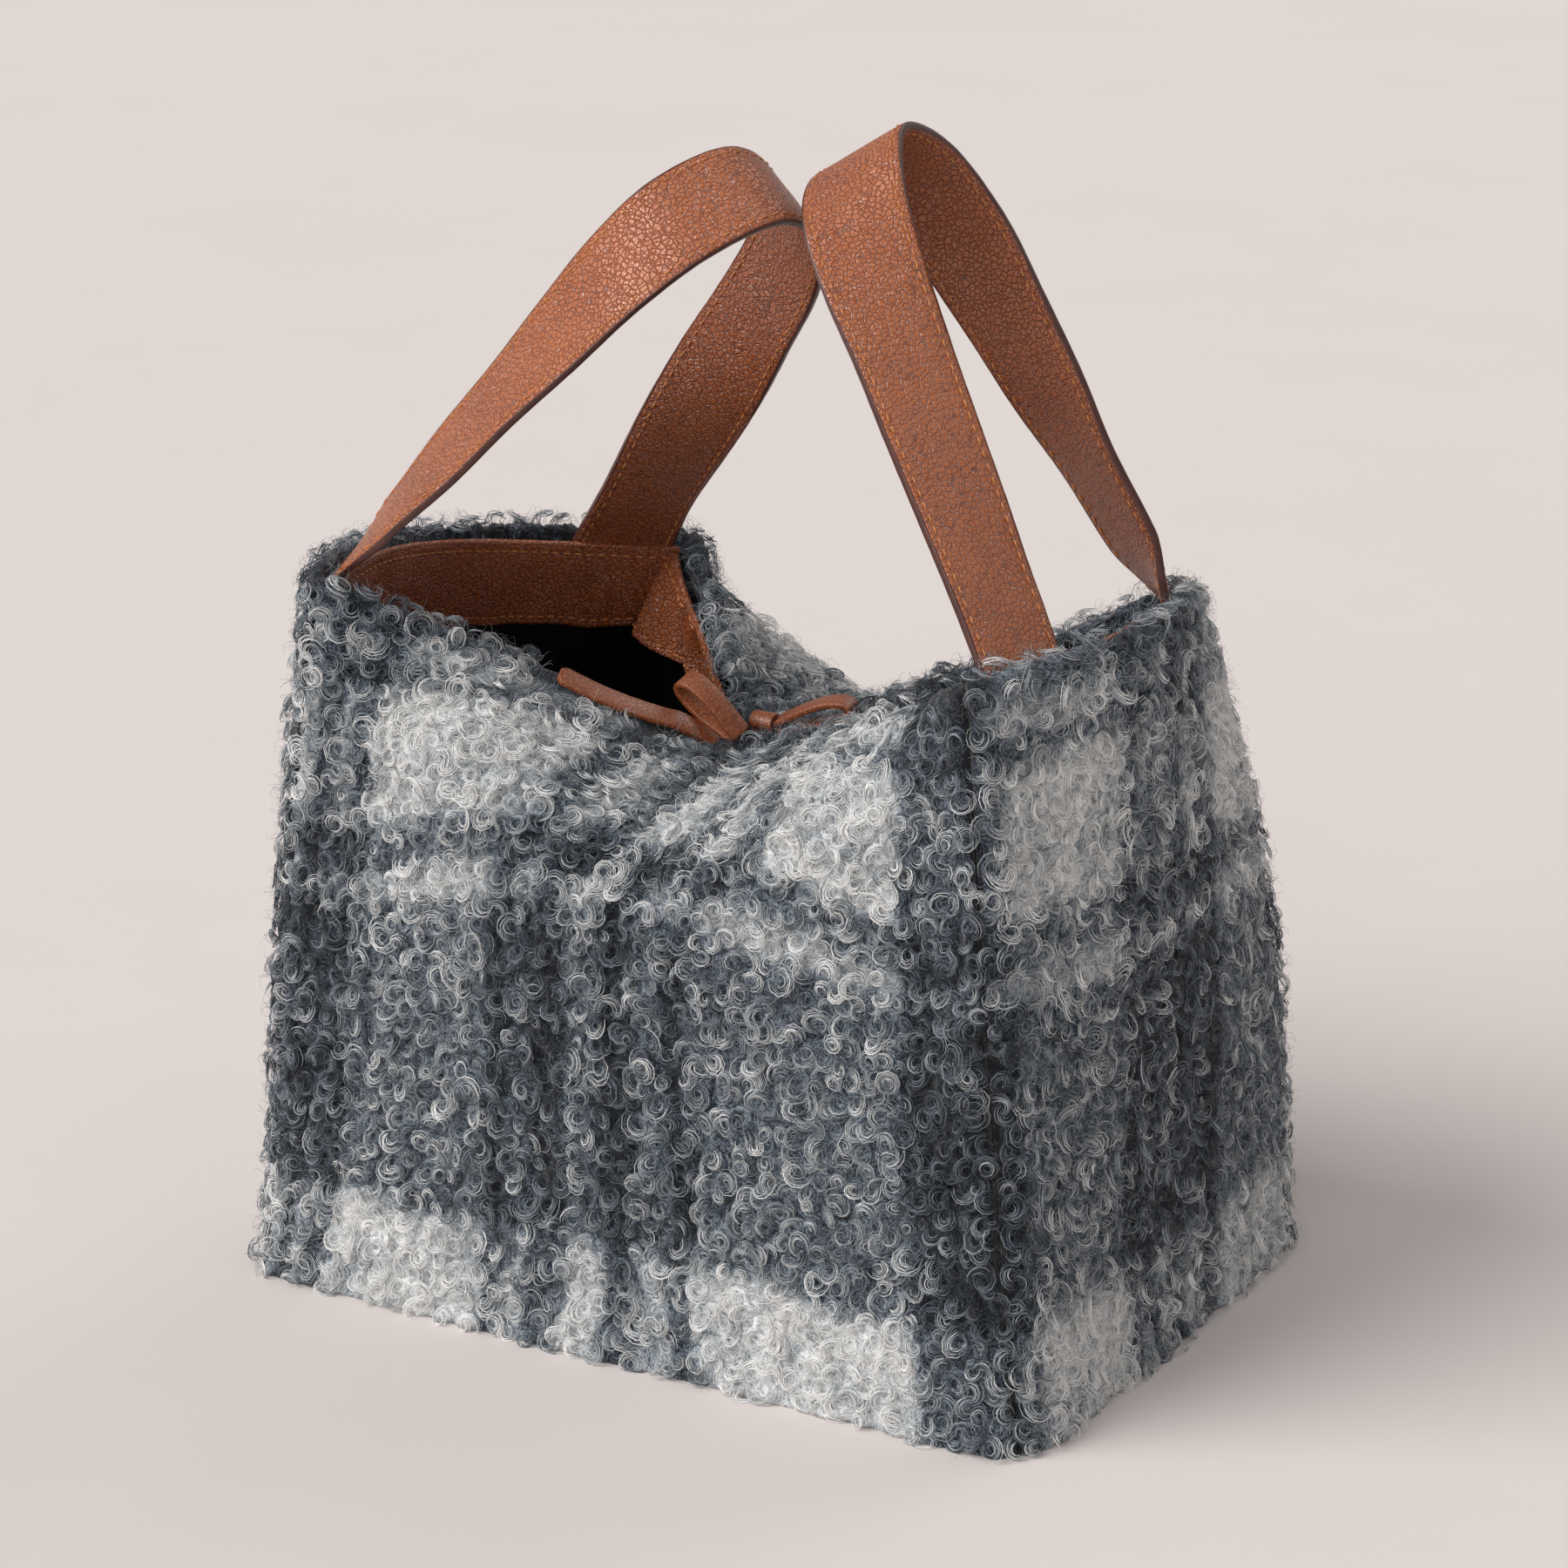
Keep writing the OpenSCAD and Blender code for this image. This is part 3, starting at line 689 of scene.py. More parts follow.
def build_curls(i, centres, material, rng):
    """Locks of fibre over one panel, each curling round its centre, in a few pieces."""
    def each(values):
        return np.repeat(values, STRANDS)

    length = side_len(i)
    cx, cy, radius = [each(a) for a in centres]
    n, curls = len(cx), len(centres[0])
    hand = each(np.where(rng.random(curls) < 0.5, -1.0, 1.0))
    first = each(rng.uniform(0, 2 * np.pi, curls)) + rng.normal(0, 0.45, n)
    sweep = each(rng.uniform(3.2, 5.6, curls)) + rng.normal(0, 0.5, n)
    share = np.tile(np.linspace(0.42, 1.12, STRANDS), curls) + rng.normal(0, 0.04, n)
    lift = each(rng.uniform(1.3, 3.6, curls)) + rng.normal(0, 0.4, n)
    lift = lift + 0.5 * np.clip((cy - CLOTH_LEN + 8) / 8, 0, 1)
    lean_dir = each(rng.normal(-np.pi / 2, 1.3, curls))
    lean = each(np.abs(rng.normal(0.3, 0.22, curls)))
    s = np.linspace(0, 1, STEPS)[None]
    theta = first[:, None] + (hand * sweep)[:, None] * s
    rho = (radius * share)[:, None] * (1.14 - 0.36 * s)
    rho = rho * (1 + 0.05 * np.sin(7 * s + first[:, None]))
    off = rng.normal(0, 0.22, (2, n, 1))
    dx = rho * np.cos(theta) + off[0]
    dy = rho * np.sin(theta) + off[1] - 0.5 * s
    h = lift[:, None] * np.sin(np.clip(s * 1.5, 0, 1) * np.pi / 2) - 0.7
    h = h + rho * np.sin(lean)[:, None] * np.cos(theta - lean_dir[:, None])
    h = h + 1.5 * np.sqrt(np.clip(1 - ((share - 0.76) / 0.42) ** 2, 0, 1))[:, None] - 0.6
    h = np.maximum(h, -1.2)
    start = wool_frame(i, cx / length, cy)
    paths = off_cloth(start, dx, dy, h)
    thick = rng.uniform(0.1, 0.18, n)[:, None] * (0.35 + 0.65 * np.sin(np.pi * s) ** 0.6)
    paths[..., 2] = np.maximum(paths[..., 2], thick + 0.05)
    near = plaid(i, cx + each(rng.normal(0, 1.8, curls)), cy + each(rng.normal(0, 1.8, curls)))
    bright = np.where(rng.random(n) < 0.28, rng.uniform(0.12, 0.5, n), 0)
    vary = each(rng.normal(0.03, 0.18, curls)) + rng.normal(0, 0.13, n) + bright
    tone = near + vary * (0.62 + 0.58 * near)
    # Painted shade and highlight: each strand is painted darker towards its root at the cloth and
    # lighter round its middle.
    shade = tone[:, None] - 0.26 * (1 - s) ** 2 + 0.2 * np.sin(np.pi * s) ** 2
    make_strands(SIDES[i] + "_curls", paths, thick, start[1][:, None], shade, material)


def build_fuzz(i, material, rng):
    """Fine stray fibres standing off the pile of one panel, thicker along the rim."""
    length = side_len(i)
    n = int(length * CLOTH_LEN / 17)
    x = rng.uniform(0.8, length - 0.8, n)
    y = np.where(rng.random(n) < 0.12, rng.uniform(CLOTH_LEN - 6, CLOTH_LEN + ROLL + 1, n),
                 rng.uniform(2, CLOTH_LEN + ROLL + 1, n))
    keep = ~under_tail(i, x, y - 3)
    x, y = x[keep], y[keep]
    n = len(x)
    k = 6
    s = np.linspace(0, 1, k)[None]
    start = wool_frame(i, x / length, y)
    reach = rng.uniform(2.5, 6.5, n)[:, None]
    turn = rng.uniform(0, 2 * np.pi, n)[:, None]
    bend = rng.normal(0, 2.2, n)[:, None]
    run = rng.uniform(2.0, 5.0, n)[:, None]
    dx = run * s * np.cos(turn + bend * s)
    dy = run * s * np.sin(turn + bend * s)
    h = 0.5 + reach * np.sin(s * rng.uniform(1.2, 2.6, n)[:, None])
    paths = off_cloth(start, dx, dy, h)
    thick = rng.uniform(0.06, 0.09, n)[:, None] * (1 - 0.7 * s)
    paths[..., 2] = np.maximum(paths[..., 2], LOWEST)
    tone = plaid(i, x + rng.normal(0, 2, n), y) + rng.normal(0.12, 0.13, n)
    shade = tone[:, None] + 0 * s
    make_strands(SIDES[i] + "_fuzz", paths, thick, start[1][:, None], shade, material)


MOST_FACES = 190000  # in one piece, as triangles


def make_strands(name, paths, thick, flat, shade, material):
    """Tube pieces of at most MOST_FACES triangles each. Tube pieces small enough to
    export whole.
    """
    n, k = paths.shape[:2]
    per = 6 * (k - 1) + 2
    parts = int(np.ceil(n * per / MOST_FACES))
    for q, rows in enumerate(np.array_split(np.arange(n), parts)):
        ob = tubes(f"{name}_{q + 1}", paths[rows], thick[rows], flat[rows], cells=True)
        set_values(ob, "tone", np.clip(np.repeat(shade[rows], 3, axis=1), 0, 1))
        finish_piece(ob, "bag", "wool", material)


def build_wool():
    fibre, pile = fibre_material(), pile_material()
    for i in range(4):
        rng = np.random.default_rng(100 + i)
        centres = curl_centres(i, rng)
        build_pile(i, centres, pile)
        build_curls(i, centres, fibre, rng)
        build_fuzz(i, fibre, rng)
    build_base(pile)


# Layers inside the walls

LAYER_STEP = 3.0


def layer(i, name, depth, thick, v0, v1, ripple, trim):
    """Closed sheet inside side i from v0 to v1 up the cloth; ripple(x, y) adds to its depth."""
    length = side_len(i)
    n, m = int(length / LAYER_STEP), int((v1 - v0) * CLOTH_LEN / LAYER_STEP) + 2
    x, v = np.meshgrid(np.linspace(trim, length - trim, n), np.linspace(v0, v1, m), indexing="ij")
    wave = ripple(x, v * CLOTH_LEN)
    outer = wall_point(i, x / length, v, depth + wave)
    inner = wall_point(i, x / length, v, depth + wave + thick)
    for grid in (outer, inner):
        grid[..., 2] = np.maximum(grid[..., 2], 0.2)
    return sheet_piece(name, outer, inner)


def slab(name, v, depth, z, thick, wave):
    """Closed slab at height z filling the walls' outline; wave(x, y) lifts its top."""
    rows = [wall_point(i, np.linspace(0.02, 0.98, 40), np.full(40, v), np.full(40, depth))
            for i in range(4)]
    edge = np.concatenate(rows)[:, :2]
    share = np.linspace(0, 1, 24)[None, :, None]
    flat = edge[:, None] * (1 - share * 0.999)
    top = np.concatenate([flat, np.full(flat.shape[:2] + (1,), z + thick)], -1)
    low = np.concatenate([flat, np.full(flat.shape[:2] + (1,), z)], -1)
    top[..., 2] += wave(flat[..., 0], flat[..., 1])
    n, m = flat.shape[:2]
    s = n * m
    j = np.arange(n)
    a, b = j * m, ((j + 1) % n) * m
    side = np.stack([b, a, s + a, s + b], -1)
    hub = np.stack([a + m - 1, b + m - 1, s + b + m - 1, s + a + m - 1], -1)
    faces = [np.concatenate([grid_faces(n, m, 0, True), grid_faces(n, m, s, True)[:, ::-1],
                             side, hub])]
    ob = new_piece(name, np.concatenate([top.reshape(-1, 3), low.reshape(-1, 3)]), faces)
    tidy_normals(ob)
    return ob


def build_base(pile):
    ob = slab("base_wool_pile", 0.026, 7.5, 0.3, 6.1, lambda x, y: 0 * x)
    co = np.array([v.co for v in ob.data.vertices]) / MM
    set_values(ob, "tone", 0.22 + 0.06 * noise2(co[:, 0] / 9, co[:, 1] / 9, 31))
    set_values(ob, "ring", 0.8 + 0.5 * noise2(co[:, 0] / 2, co[:, 1] / 2, 32))
    finish_piece(ob, "bag", "wool", pile, "base_wool")


def lining_folds(i, x, y):
    """Loose folds of the lining, held flat at the band, the floor and the seams."""
    free = np.clip((228 - y) / 50, 0, 1) * np.clip((y - 14) / 30, 0, 1)
    return (1.6 + 1.3 * noise2(x / 21, y / 60, 50 + i)) * free * seam_fade(x, side_len(i), 16)


def build_layers():
    felt = smooth_material("wool_felt", "#cfcac0", "#e2ded6", 0.95, 500.0, 0.5)
    black = woven_material("lining_cloth", "#050506", "#141416", 420.0, 0.55)
    for i in range(4):
        side = SIDES[i]
        pad = layer(i, side + "_padding", PAD_IN, PAD_T, 0.06, 0.866,
                    lambda x, y: 0.05 * noise2(x / 4, y / 4, 40 + i), 0.6)
        finish_piece(pad, "bag", "padding", felt, side + "_pad")
        cloth = layer(i, side + "_lining_cloth", LINING_IN, LINING_T, 0.06, 0.872,
                      lambda x, y: lining_folds(i, x, y), -0.6)
        finish_piece(cloth, "bag", "lining", black, side + "_lining")
    floor = slab("base_lining_cloth", 0.04, 8.0, 9.0, 0.7,
                 lambda x, y: 0.5 + 0.5 * noise2(x / 25, y / 25, 60))
    finish_piece(floor, "bag", "lining", black, "base_lining")
    board = smooth_material("grey_board", "#a98d64", "#c4a77c", 0.9, 900.0, 0.3)
    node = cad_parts["base_board"]
    node.data.materials.clear()
    node.data.materials.append(board)


# Leather

def stitches(name, places, along, out, length=3.0, wide=0.4):
    """Thread stitches as small rounded beads at places, lying along a seam."""
    ring, k = 6, 5
    s = np.linspace(0, 1, k)
    bulge = np.sin(np.pi * (0.08 + 0.84 * s)) ** 0.6
    paths = places[:, None] + along[:, None] * ((s - 0.5) * length)[None, :, None]
    paths = paths + out[:, None] * (0.22 * np.sin(np.pi * s) - 0.06)[None, :, None]
    radii = np.tile(wide * bulge, (len(places), 1))
    return tubes(name, paths, radii, out[:, None], ring)


BAND_LOW, BAND_HIGH = 1 - FACING_D / CLOTH_LEN, 0.996
BAND_STEP = 1.3
BAND_SEAMS = {"top": 0.91, "low": 0.09}  # share of the band's height
STITCH_PITCH = 4.6
GATHER_AT = 298  # mm along the back, by its left corner


def band_height(i, x, share):
    """How far up the cloth a point of the band is; its lower edge wanders."""
    low = BAND_LOW + (1.3 * noise1(x / 13, 70 + i) + 0.6) / CLOTH_LEN
    return lerp(low, BAND_HIGH, share)


def band_depth(i, x, share):
    """Depth of the band's hidden face; on the back it gathers, leans in and creases."""
    soft = 0.8 * noise2(x / 10, share * 2.2, 80 + i) + 0.25 * noise2(x / 2.6, share * 3, 85 + i)
    depth = FACING_IN + 0.2 + soft * np.sin(np.pi * share)
    if i != BACK:
        return depth
    gather = np.exp(-(((x - GATHER_AT) / 5.0) ** 2)) * (1.05 + 0.45 * np.sin(x * 2.6))
    reach = 13 + 11 * np.exp(-(((x - 215) / 38) ** 2))
    lean = reach * smooth((x - 160) / 45) * (1 - share)
    creases = 0.9 * np.sin(x / 2.6 + 3 * share) * np.exp(-(((x - 268) / 15) ** 2))
    return depth + gather + lean + creases


def build_facing(leather, thread):
    """Leather band inside the rim of each side, with a row of stitches at both edges."""
    for i in range(4):
        side, length = SIDES[i], side_len(i)
        x, share = np.meshgrid(np.linspace(0.8, length - 0.8, int(length / BAND_STEP)),
                               np.linspace(0, 1, 32), indexing="ij")
        v = band_height(i, x, share)
        sunk = sum(np.exp(-(((share - at) * FACING_D / 1.1) ** 2)) for at in BAND_SEAMS.values())
        depth = band_depth(i, x, share) - 0.25 * sunk
        outer = wall_point(i, x / length, v, depth)
        inner = wall_point(i, x / length, v, depth + FACING_T)
        ob = sheet_piece(side + "_facing_leather", outer, inner)
        finish_piece(ob, "bag", "facing", leather, side + "_facing")
        x = np.linspace(3, length - 3, int(length / STITCH_PITCH))
        for row, at in BAND_SEAMS.items():
            v = band_height(i, x, at)
            p = wall_point(i, x / length, v, band_depth(i, x, at) + FACING_T - 0.25)
            out = -wall_normal(i, x / length, v)
            ob = stitches(f"{side}_facing_stitch_{row}", p, unit(np.gradient(p, axis=0)), out)
            finish_piece(ob, "bag", "facing", thread)


def build_welt(leather):
    """Rolled leather edge along the top of the band."""
    rows = []
    for i in range(4):
        x = np.linspace(0.5, side_len(i) - 0.5, int(side_len(i) / 1.6))
        v = np.full_like(x, 0.997)
        rows.append(wall_point(i, x / side_len(i), v, np.full_like(x, FACING_IN + 0.35)))
    path = np.concatenate(rows)
    path = np.concatenate([path, path[:1]])
    step = np.concatenate([[0], np.cumsum(np.linalg.norm(np.diff(path, axis=0), axis=1))])
    radius = 1.25 + 0.12 * noise1(step / 6, 91)
    up = np.zeros((1, 1, 3)) + [0, 0, 1]
    ob = tubes("rim_welt", path[None], radius[None], up, 10)
    finish_piece(ob, "bag", "facing", leather)


# Handles

STRAP_LEN = 400.0  # along the curve, foot to foot
FOOT_BLEND = 26  # length over which a foot's twist eases into the free strap
END_SHARE = 0.075  # length of the sewn ends, as a share of the strap
STRAP_STEPS = 330
SEAM_W = 14.4  # rows of stitches, from the middle of the strap
SEWN_SPAN = 205  # length of an end's rim, to lay a sewn end along it

# Middle line of a strap in its own plane, foot to foot: along as a share of half the gap
# between the feet, and up as a share of HANDLE_RISE. Turn is its twist there, in degrees.
HANDLE_ROWS = np.array([[-1, 0], [-0.9, 0.16], [-0.79, 0.31], [-0.68, 0.47], [-0.57, 0.62],
                        [-0.45, 0.78], [-0.24, 0.92], [0.13, 1], [0.53, 0.94], [0.74, 0.8],
                        [0.81, 0.64], [0.85, 0.48], [0.89, 0.32], [0.94, 0.16], [1, 0]])
HANDLES = {
    "left": dict(feet=[(3, 0.9), (3, 0.13)], lean=np.array([109.0, 0, 142]),
                 turn=[50, 45, 35, 30, 20, 10, 0, 0, 0, 5, 10, 30, 50, 65, 65]),
    "right": dict(feet=[(1, 0.16), (1, 0.82)], lean=np.array([-94.0, 7, 144]),
                  turn=[-70, -70, -65, -60, -55, -40, -20, 0, 10, 5, -10, -20, -35, -40, -50]),
}


def spline(rows, u):
    """Smooth curve through evenly spaced rows, at u from 0 to 1."""
    rows = np.asarray(rows, float)
    if rows.ndim == 1:
        rows = rows[:, None]
    x = np.clip(np.asarray(u, float), 0, 1) * (len(rows) - 1)
    k = np.minimum(np.floor(x).astype(int), len(rows) - 2)
    s = (x - k)[..., None]
    a, b, c, d = [rows[np.clip(k + q, 0, len(rows) - 1)] for q in (-1, 0, 1, 2)]
    return (b + (c - a) * s / 2 + (a * 2 - b * 5 + c * 4 - d) * s * s / 2
            + (b * 3 - a - c * 3 + d) * s**3 / 2)


def foot_point(foot):
    """Where a strap's middle meets the rim; foot is a side and a place along it."""
    return wall_point(foot[0], np.array(foot[1]), np.array(1.0), np.array(STRAP_IN + STRAP_T / 2))


def handle_plane(h):
    """Middle between the feet, half their gap, and the along, up and normal directions."""
    a, b = foot_point(h["feet"][0]), foot_point(h["feet"][1])
    x = unit(b - a)
    y = unit(h["lean"] - x * (h["lean"] @ x))
    return (a + b) / 2, np.linalg.norm(b - a) / 2, x, y, np.cross(x, y)


def strap_frame(h, u):
    """Middle, along, across and outward directions of a strap at u (0 and 1 at its feet)."""
    mid, half, x, y, n = handle_plane(h)

    def at(w):
        r = spline(HANDLE_ROWS, w)
        return mid + x * r[..., :1] * half + y * r[..., 1:] * HANDLE_RISE

    along = unit(at(np.minimum(u + 0.01, 1)) - at(np.maximum(u - 0.01, 0)))
    a = np.radians(spline(h["turn"], u))
    across = unit(n * np.cos(a) + np.cross(n, along) * np.sin(a))
    return at(u), along, across, np.cross(along, across)


def foot_surface(h, end, u, w, depth, middle, free):
    """The strap near one foot: sewn in behind the band, then easing into its free shape."""
    foot = h["feet"][end]
    away = STRAP_LEN * (1 - u if end else u)
    t = np.array(foot[1])
    rim = wall(foot[0], t + 0.01, 1.0) - wall(foot[0], t - 0.01, 1.0)
    _, _, across, out = strap_frame(h, np.array(float(end)))
    side = 1.0 if across @ rim > 0 else -1.0
    face = 1.0 if out @ wall_normal(foot[0], t, np.array(1.0)) > 0 else -1.0
    t = foot[1] + w * side / SEWN_SPAN
    depth = STRAP_IN + STRAP_T / 2 + depth * face
    sewn = wall_point(foot[0], t, np.clip(1 + away / CLOTH_LEN, 0.87, 1), depth)
    base = wall_point(foot[0], t, np.ones_like(u), depth)
    s = smooth(away / FOOT_BLEND)[..., None]
    raised = (base + middle - foot_point(foot)) * (1 - s) + free * s
    near = np.where((away > 0)[..., None], raised, sewn)
    return np.where((away < FOOT_BLEND)[..., None], near, free)


def strap_surface(h, u, w, depth):
    """Point of the strap at u along and w across; u runs past 0 and 1 down into the rim."""
    u, w, depth = np.broadcast_arrays(u, w, depth)
    middle, _, across, out = strap_frame(h, np.clip(u, 0, 1))
    free = middle + across * w[..., None] - out * depth[..., None]
    first = foot_surface(h, 0, u, w, depth, middle, free)
    last = foot_surface(h, 1, u, w, depth, middle, free)
    return np.where((u < 0.5)[..., None], first, last)


def strap_face(name, h, near, far, crown):
    """One closed leather of a strap between two depths; crown is 1 or -1, its outer way."""
    u = np.linspace(-END_SHARE, 1 + END_SHARE, STRAP_STEPS)[:, None]
    w = np.linspace(-1, 1, 25)[None] * (STRAP_W / 2 - 0.25)
    u, w = np.broadcast_arrays(u, w)
    edge = np.clip((np.abs(w) - 16.2) / 1.05, 0, 1) ** 2
    seam = np.exp(-((np.abs(w) - SEAM_W) ** 2))
    swell = crown * (0.25 * (1 - (w * 2 / STRAP_W) ** 2) - 0.22 * seam - 0.42 * edge
                     + 0.12 * noise2(u * 60, w / 4, 95))
    far_grid = strap_surface(h, u, w, far + (swell if crown > 0 else 0))
    near_grid = strap_surface(h, u, w, near + (swell if crown < 0 else 0))
    ob = sheet_piece(name, near_grid, far_grid)
    tidy_normals(ob)
    return ob


def strap_core(name, h):
    """Core and painted edge of a strap: a closed loop of cross-section, rounded at both edges."""
    u = np.linspace(-END_SHARE, 1 + END_SHARE, STRAP_STEPS)[:, None]
    a = np.arange(16) * 2 * np.pi / 16
    w = np.sign(np.cos(a)) * (STRAP_W / 2 - 0.9 + 0.95 * np.abs(np.cos(a)) ** 0.6)
    d = 1.42 * np.sign(np.sin(a)) * np.abs(np.sin(a)) ** 0.7
    d = d * np.where(np.abs(np.cos(a)) < 0.3, 0.35, 1.0)
    return tube_piece(name, strap_surface(h, u, w[None] + 0.05 * noise1(u * 200, 97), d[None]))


def strap_stitches(name, h, depth):
    """Both rows of stitches on one face of a strap."""
    rows, aim, face = [], [], []
    u = np.linspace(0.004, 0.996, 90)
    for w in (-SEAM_W, SEAM_W):
        p = strap_surface(h, u, w, depth)
        rows.append(p)
        aim.append(unit(np.gradient(p, axis=0)))
        face.append(unit(p - strap_surface(h, u, w, 0.0)))
    return stitches(name, np.concatenate(rows), np.concatenate(aim), np.concatenate(face))


def build_handle(side, leather, inner_leather, edge, thread):
    h = HANDLES[side]
    half = STRAP_T / 2
    cad = [f"{side}_handle_outer", f"{side}_handle_core", f"{side}_handle_inner"]
    ends = [f"{side}_front_strap_end", f"{side}_back_strap_end"]
    outer = strap_face(side + "_strap_outer_leather", h, -half, -0.45, -1)
    inner = strap_face(side + "_strap_inner_leather", h, 0.45, half, 1)
    core = strap_core(side + "_strap_edge", h)
    rows = [strap_stitches(side + "_strap_outer_stitches", h, -half + 0.12),
            strap_stitches(side + "_strap_inner_stitches", h, half - 0.12)]
    finish_piece(outer, None, "strap", leather, cad[0], *ends)
    finish_piece(inner, None, "strap_back", inner_leather, cad[2])
    finish_piece(core, None, "core", edge, cad[1])
    for ob in rows:
        finish_piece(ob, None, "strap", thread)
    for ob in [outer, inner, core] + rows:
        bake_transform(ob)


# Bow

TIE_W, TIE_T = 8, 2
KNOT = np.array([-4.0, 0, 195.5])


def ribbon(name, path, side, wide, thick, n, taper=None):
    """Flat strip with rounded edges along a path of points; side gives its width direction."""
    u = np.linspace(0, 1, n)
    p = spline(path, u)
    t = unit(np.gradient(p, axis=0))
    s = spline(side, u) if np.ndim(side) > 1 else np.tile(np.asarray(side, float), (n, 1))
    s = unit(s - t * np.sum(s * t, axis=1, keepdims=True))
    f = np.cross(t, s)
    a = np.arange(14) * 2 * np.pi / 14
    w = np.sign(np.cos(a)) * (wide / 2 - 0.6 + 0.6 * np.abs(np.cos(a)) ** 0.5)
    d = thick / 2 * np.sign(np.sin(a)) * np.abs(np.sin(a)) ** 0.5
    scale = np.ones(n) if taper is None else taper(u)
    w = w[None] * scale[:, None] + 0.12 * noise1(u * 9, 101)[:, None]
    return tube_piece(name, p[:, None] + s[:, None] * w[..., None] + f[:, None] * d[:, None])


def loop_path(root, d, n, reach, gape):
    """Flattened loop out of its root along d and back, open by gape along n."""
    u = np.linspace(0, 1, 25)
    return (root + d * (reach * np.sin(np.pi * u))[:, None]
            + n * (gape * np.sin(2 * np.pi * u) / 2 + (0.5 - u) * (TIE_T + 0.6))[:, None])


def build_tail(leather):
    """The free end of a tie: it starts under the left loop and hangs along the front rim."""
    t = np.linspace(0.455, 0.27, 12)
    s = np.linspace(0, 1, 12)
    sag = 4.6 * np.sin(np.pi * s) - 2.4 + 1.5 * np.clip(1 - s / 0.3, 0, 1)
    v = 0.994 - (TIE_W / 2 + sag) / CLOTH_LEN
    tuck = 4.5 * np.clip(1 - s / 0.25, 0, 1) - 2.0
    tail = wall_point(0, t, v, tuck)
    up = wall_point(0, t, v + 0.01, tuck) - tail

    def cut(u):
        return 1 - 0.45 * np.clip((u - 0.955) / 0.045, 0, 1)

    ob = ribbon("left_tie_tail_leather", tail, up, TIE_W, TIE_T, 70, cut)
    finish_piece(ob, None, "tie", leather, "left_tie_tail")
    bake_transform(ob)


def build_bow(leather):
    build_tail(leather)
    for side, root, d, hint, reach, gape in (
            ("left", KNOT + [-3, -12, -2.5], [-20, -3, 17], [0.66, -0.48, 0.83], 27, 8),
            ("right", KNOT + [6, 0, 0], [25, 2, 9], [-0.25, -0.2, 1.0], 28, 6)):
        d = unit(np.array(d, float))
        n = unit(np.cross(d, np.cross(np.array(hint), d)))
        path = loop_path(root, d, n, reach, gape)
        ob = ribbon(side + "_bow_loop", path, np.cross(n, d), TIE_W, TIE_T, 80)
        finish_piece(ob, side + "_bow_loop", "tie", leather, side + "_tie_loop")
    build_ties(leather)
    build_knot(leather)


def build_ties(leather):
    """The two ties, out of the rims and up into the knot."""
    for name, way in (("front_tie", -1), ("back_tie", 1)):
        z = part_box(name)[0][2] / MM + 3.6
        run = [(18.5, z - 3.4), (11.5, z - 2.2), (5.5, z - 0.8), (1.5, z + 3), (1.5, z + 8), (1.5, 194)]
        path = [[KNOT[0], way * y, height] for y, height in run]
        ob = ribbon(name + "_leather", path, [1.0, 0, 0], TIE_W, TIE_T, 40)
        finish_piece(ob, "bag", "tie", leather, name)


def build_knot(leather):
    """The knot: a turn of tie wrapped round the others."""
    a = np.linspace(0, 2 * np.pi, 40, endpoint=False)
    path = np.stack([0 * a, 3.1 * np.cos(a), 2.3 * np.sin(a)], -1) + KNOT
    path = np.concatenate([path, path[:3]])
    path[:, 0] += np.linspace(-0.4, 0.4, len(path))
    ob = ribbon("tie_knot_wrap", path, [1.0, 0, 0], TIE_W + 0.6, TIE_T, 90)
    finish_piece(ob, "bag", "tie", leather, "tie_knot")
    a = np.linspace(0, 2 * np.pi, 24)[:20]
    path = np.stack([0 * a, 1.5 * np.cos(a), 1.1 * np.sin(a)], -1) + KNOT
    ob = ribbon("tie_knot_core", path, [1.0, 0, 0], TIE_W - 0.6, 1.6, 50)
    finish_piece(ob, "bag", "tie", leather)


# Camera, floor and light

def look_from(azimuth, elevation, target, distance):
    """Place at a distance from the target, and the direction back to it; angles in degrees."""
    a, e = math.radians(azimuth), math.radians(elevation)
    back = Vector((math.sin(a) * math.cos(e), -math.cos(a) * math.cos(e), math.sin(e)))
    return Vector(target) + back * distance, back


CAMERA_AZIMUTH, CAMERA_ELEVATION, CAMERA_DISTANCE = 30.13, 18, 1.6
CAMERA_TARGET = (0.0033, 0, 0.1742)
CAMERA_LENS = 107.8


def build_camera():
    place, back = look_from(CAMERA_AZIMUTH, CAMERA_ELEVATION, CAMERA_TARGET, CAMERA_DISTANCE)
    cam = bpy.data.cameras.new("camera")
    cam.lens, cam.sensor_width = CAMERA_LENS, 36
    cam.clip_end = 60
    ob = bpy.data.objects.new("camera", cam)
    bpy.context.scene.collection.objects.link(ob)
    ob.location = place
    ob.rotation_euler = back.to_track_quat("Z", "Y").to_euler()
    bpy.context.scene.camera = ob


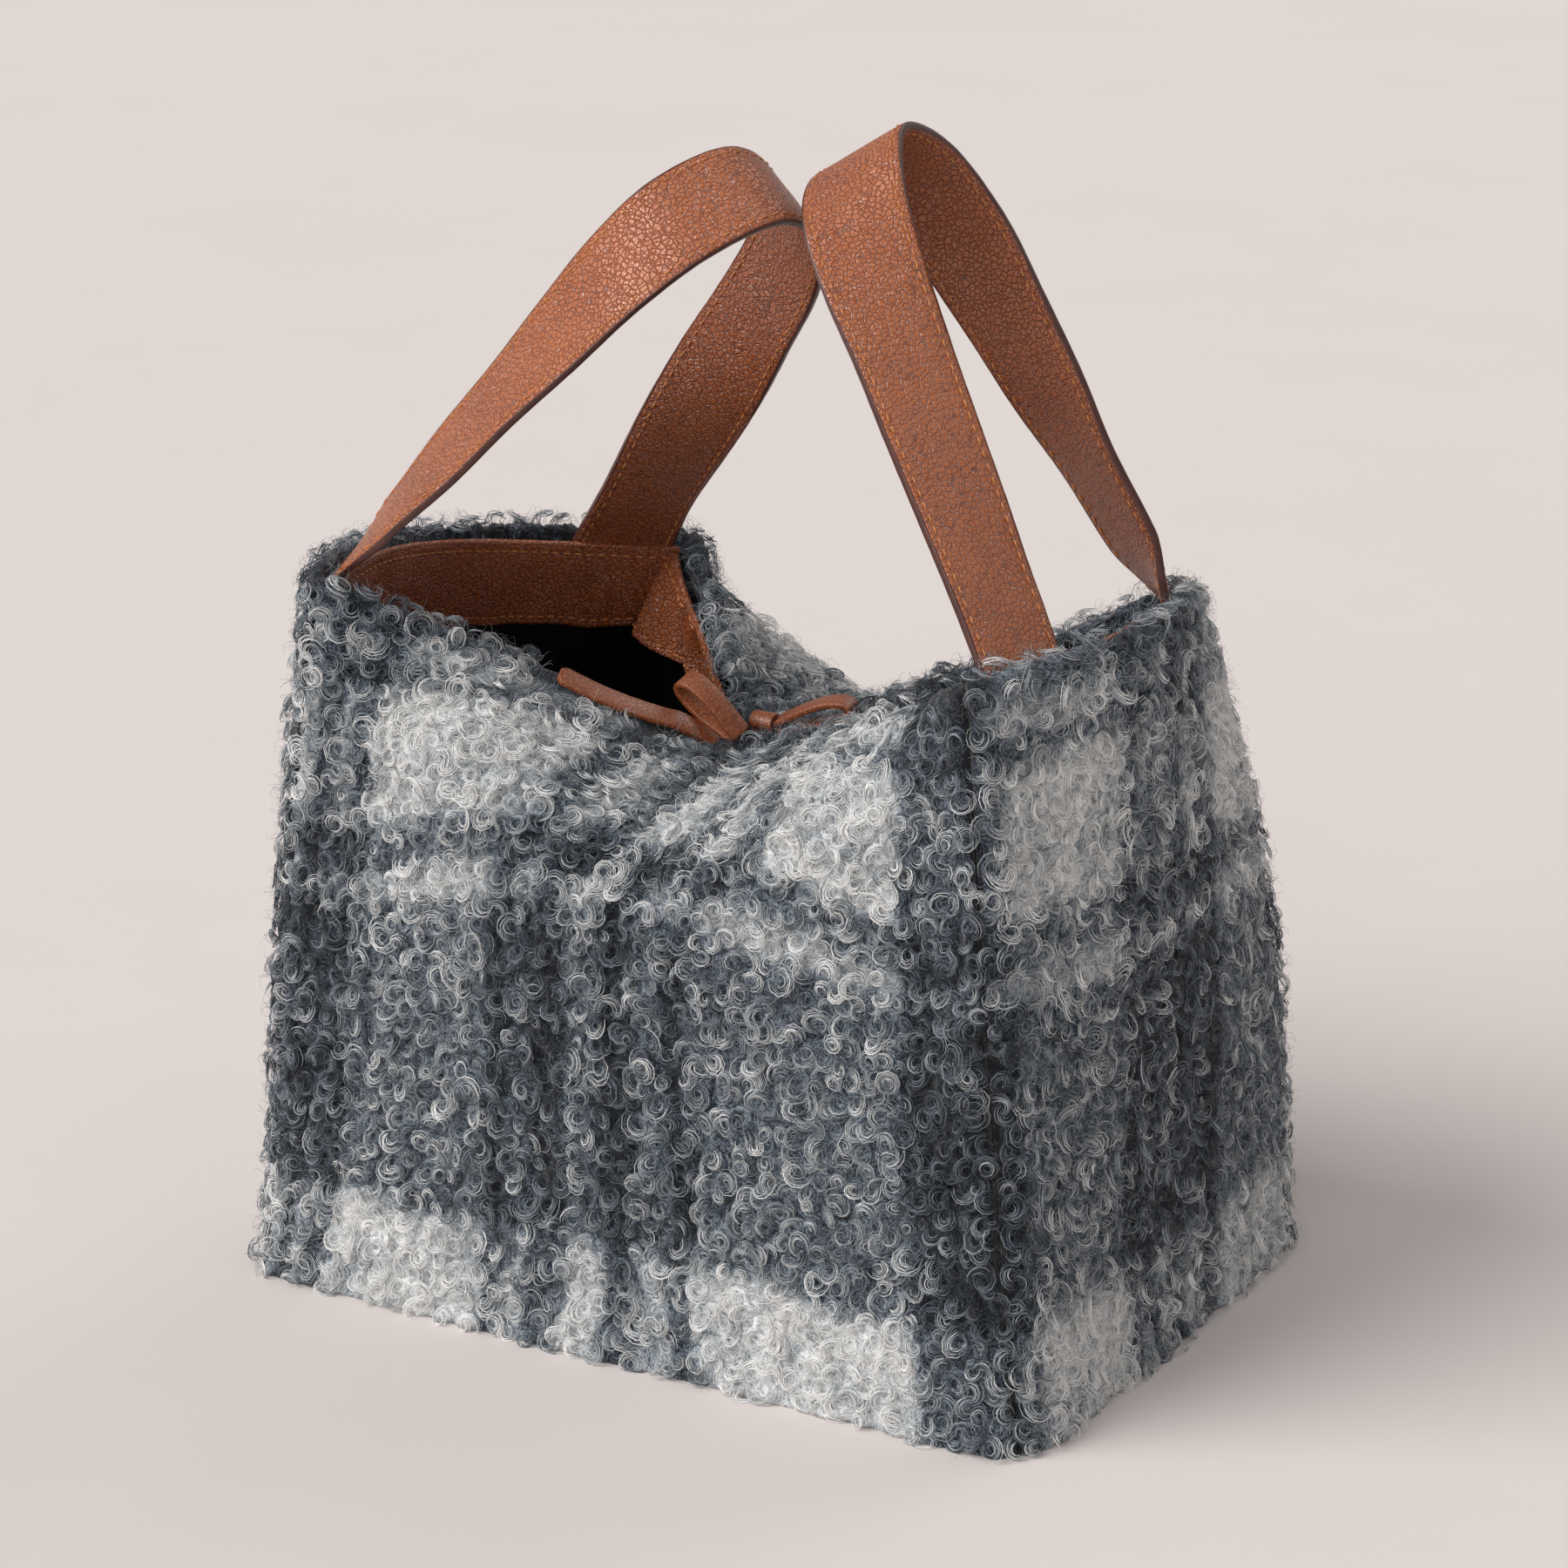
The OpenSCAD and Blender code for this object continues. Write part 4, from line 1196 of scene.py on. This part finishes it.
def sun_light(name, azimuth, elevation, power, softness, tint):
    """Large far softbox: even over the floor, with soft-edged shadows."""
    _, back = look_from(azimuth, elevation, (0, 0, 0.15), 2.0)
    light = bpy.data.lights.new(name, "SUN")
    light.energy, light.angle, light.color = power, math.radians(softness), tint
    ob = bpy.data.objects.new(name, light)
    bpy.context.scene.collection.objects.link(ob)
    ob.location = back * 2
    ob.rotation_euler = back.to_track_quat("Z", "Y").to_euler()


def build_stage():
    m = smooth_material("floor_paper", "#d6cecb", "#d9d1ce", 0.9, 3.0, 0.0)
    bm = bmesh.new()
    bmesh.ops.create_circle(bm, cap_ends=True, segments=96, radius=9.0)
    me = bpy.data.meshes.new("floor")
    bm.to_mesh(me)
    bm.free()
    floor = bpy.data.objects.new("floor", me)
    bpy.context.scene.collection.objects.link(floor)
    floor.data.materials.append(m)
    world = bpy.data.worlds.new("studio")
    world.use_nodes = True
    shade = world.node_tree.nodes["Background"]
    shade.inputs["Color"].default_value = srgb("#f4f1f0")
    shade.inputs["Strength"].default_value = 0.42
    bpy.context.scene.world = world
    bpy.context.scene.view_settings.view_transform = "Standard"
    sun_light("key", -42, 44, 2.5, 40, (1.0, 0.98, 0.965))
    sun_light("front", 2, 16, 0.9, 60, (1.0, 0.985, 0.97))
    sun_light("rim", 165, 40, 0.4, 30, (1.0, 0.98, 0.97))


def main():
    build_camera()
    build_stage()
    build_wool()
    build_layers()
    leather = leather_material("tan_leather", "#4f200c", "#93471b", "#ad6230")
    # Inner leather of the straps: the same tan leather, painted lighter and more orange as painted
    # bounce light through the strap.
    inner = leather_material("tan_leather_inner_painted_bounce", "#55250d", "#9f4e1c", "#b96b31", 0.85, 0.32)
    edge = smooth_material("painted_edge", "#3f211c", "#573128", 0.35, 260.0, 0.2)
    thread = smooth_material("tan_thread", "#a3602f", "#c98550", 0.5, 1500.0, 0.4)
    build_facing(leather, thread)
    build_welt(leather)
    build_handle("left", leather, inner, edge, thread)
    build_handle("right", leather, inner, edge, thread)
    build_bow(leather_material("tie_leather", "#5a2a14", "#8f4a24", "#a96237", 0.3, 0.38))


main()
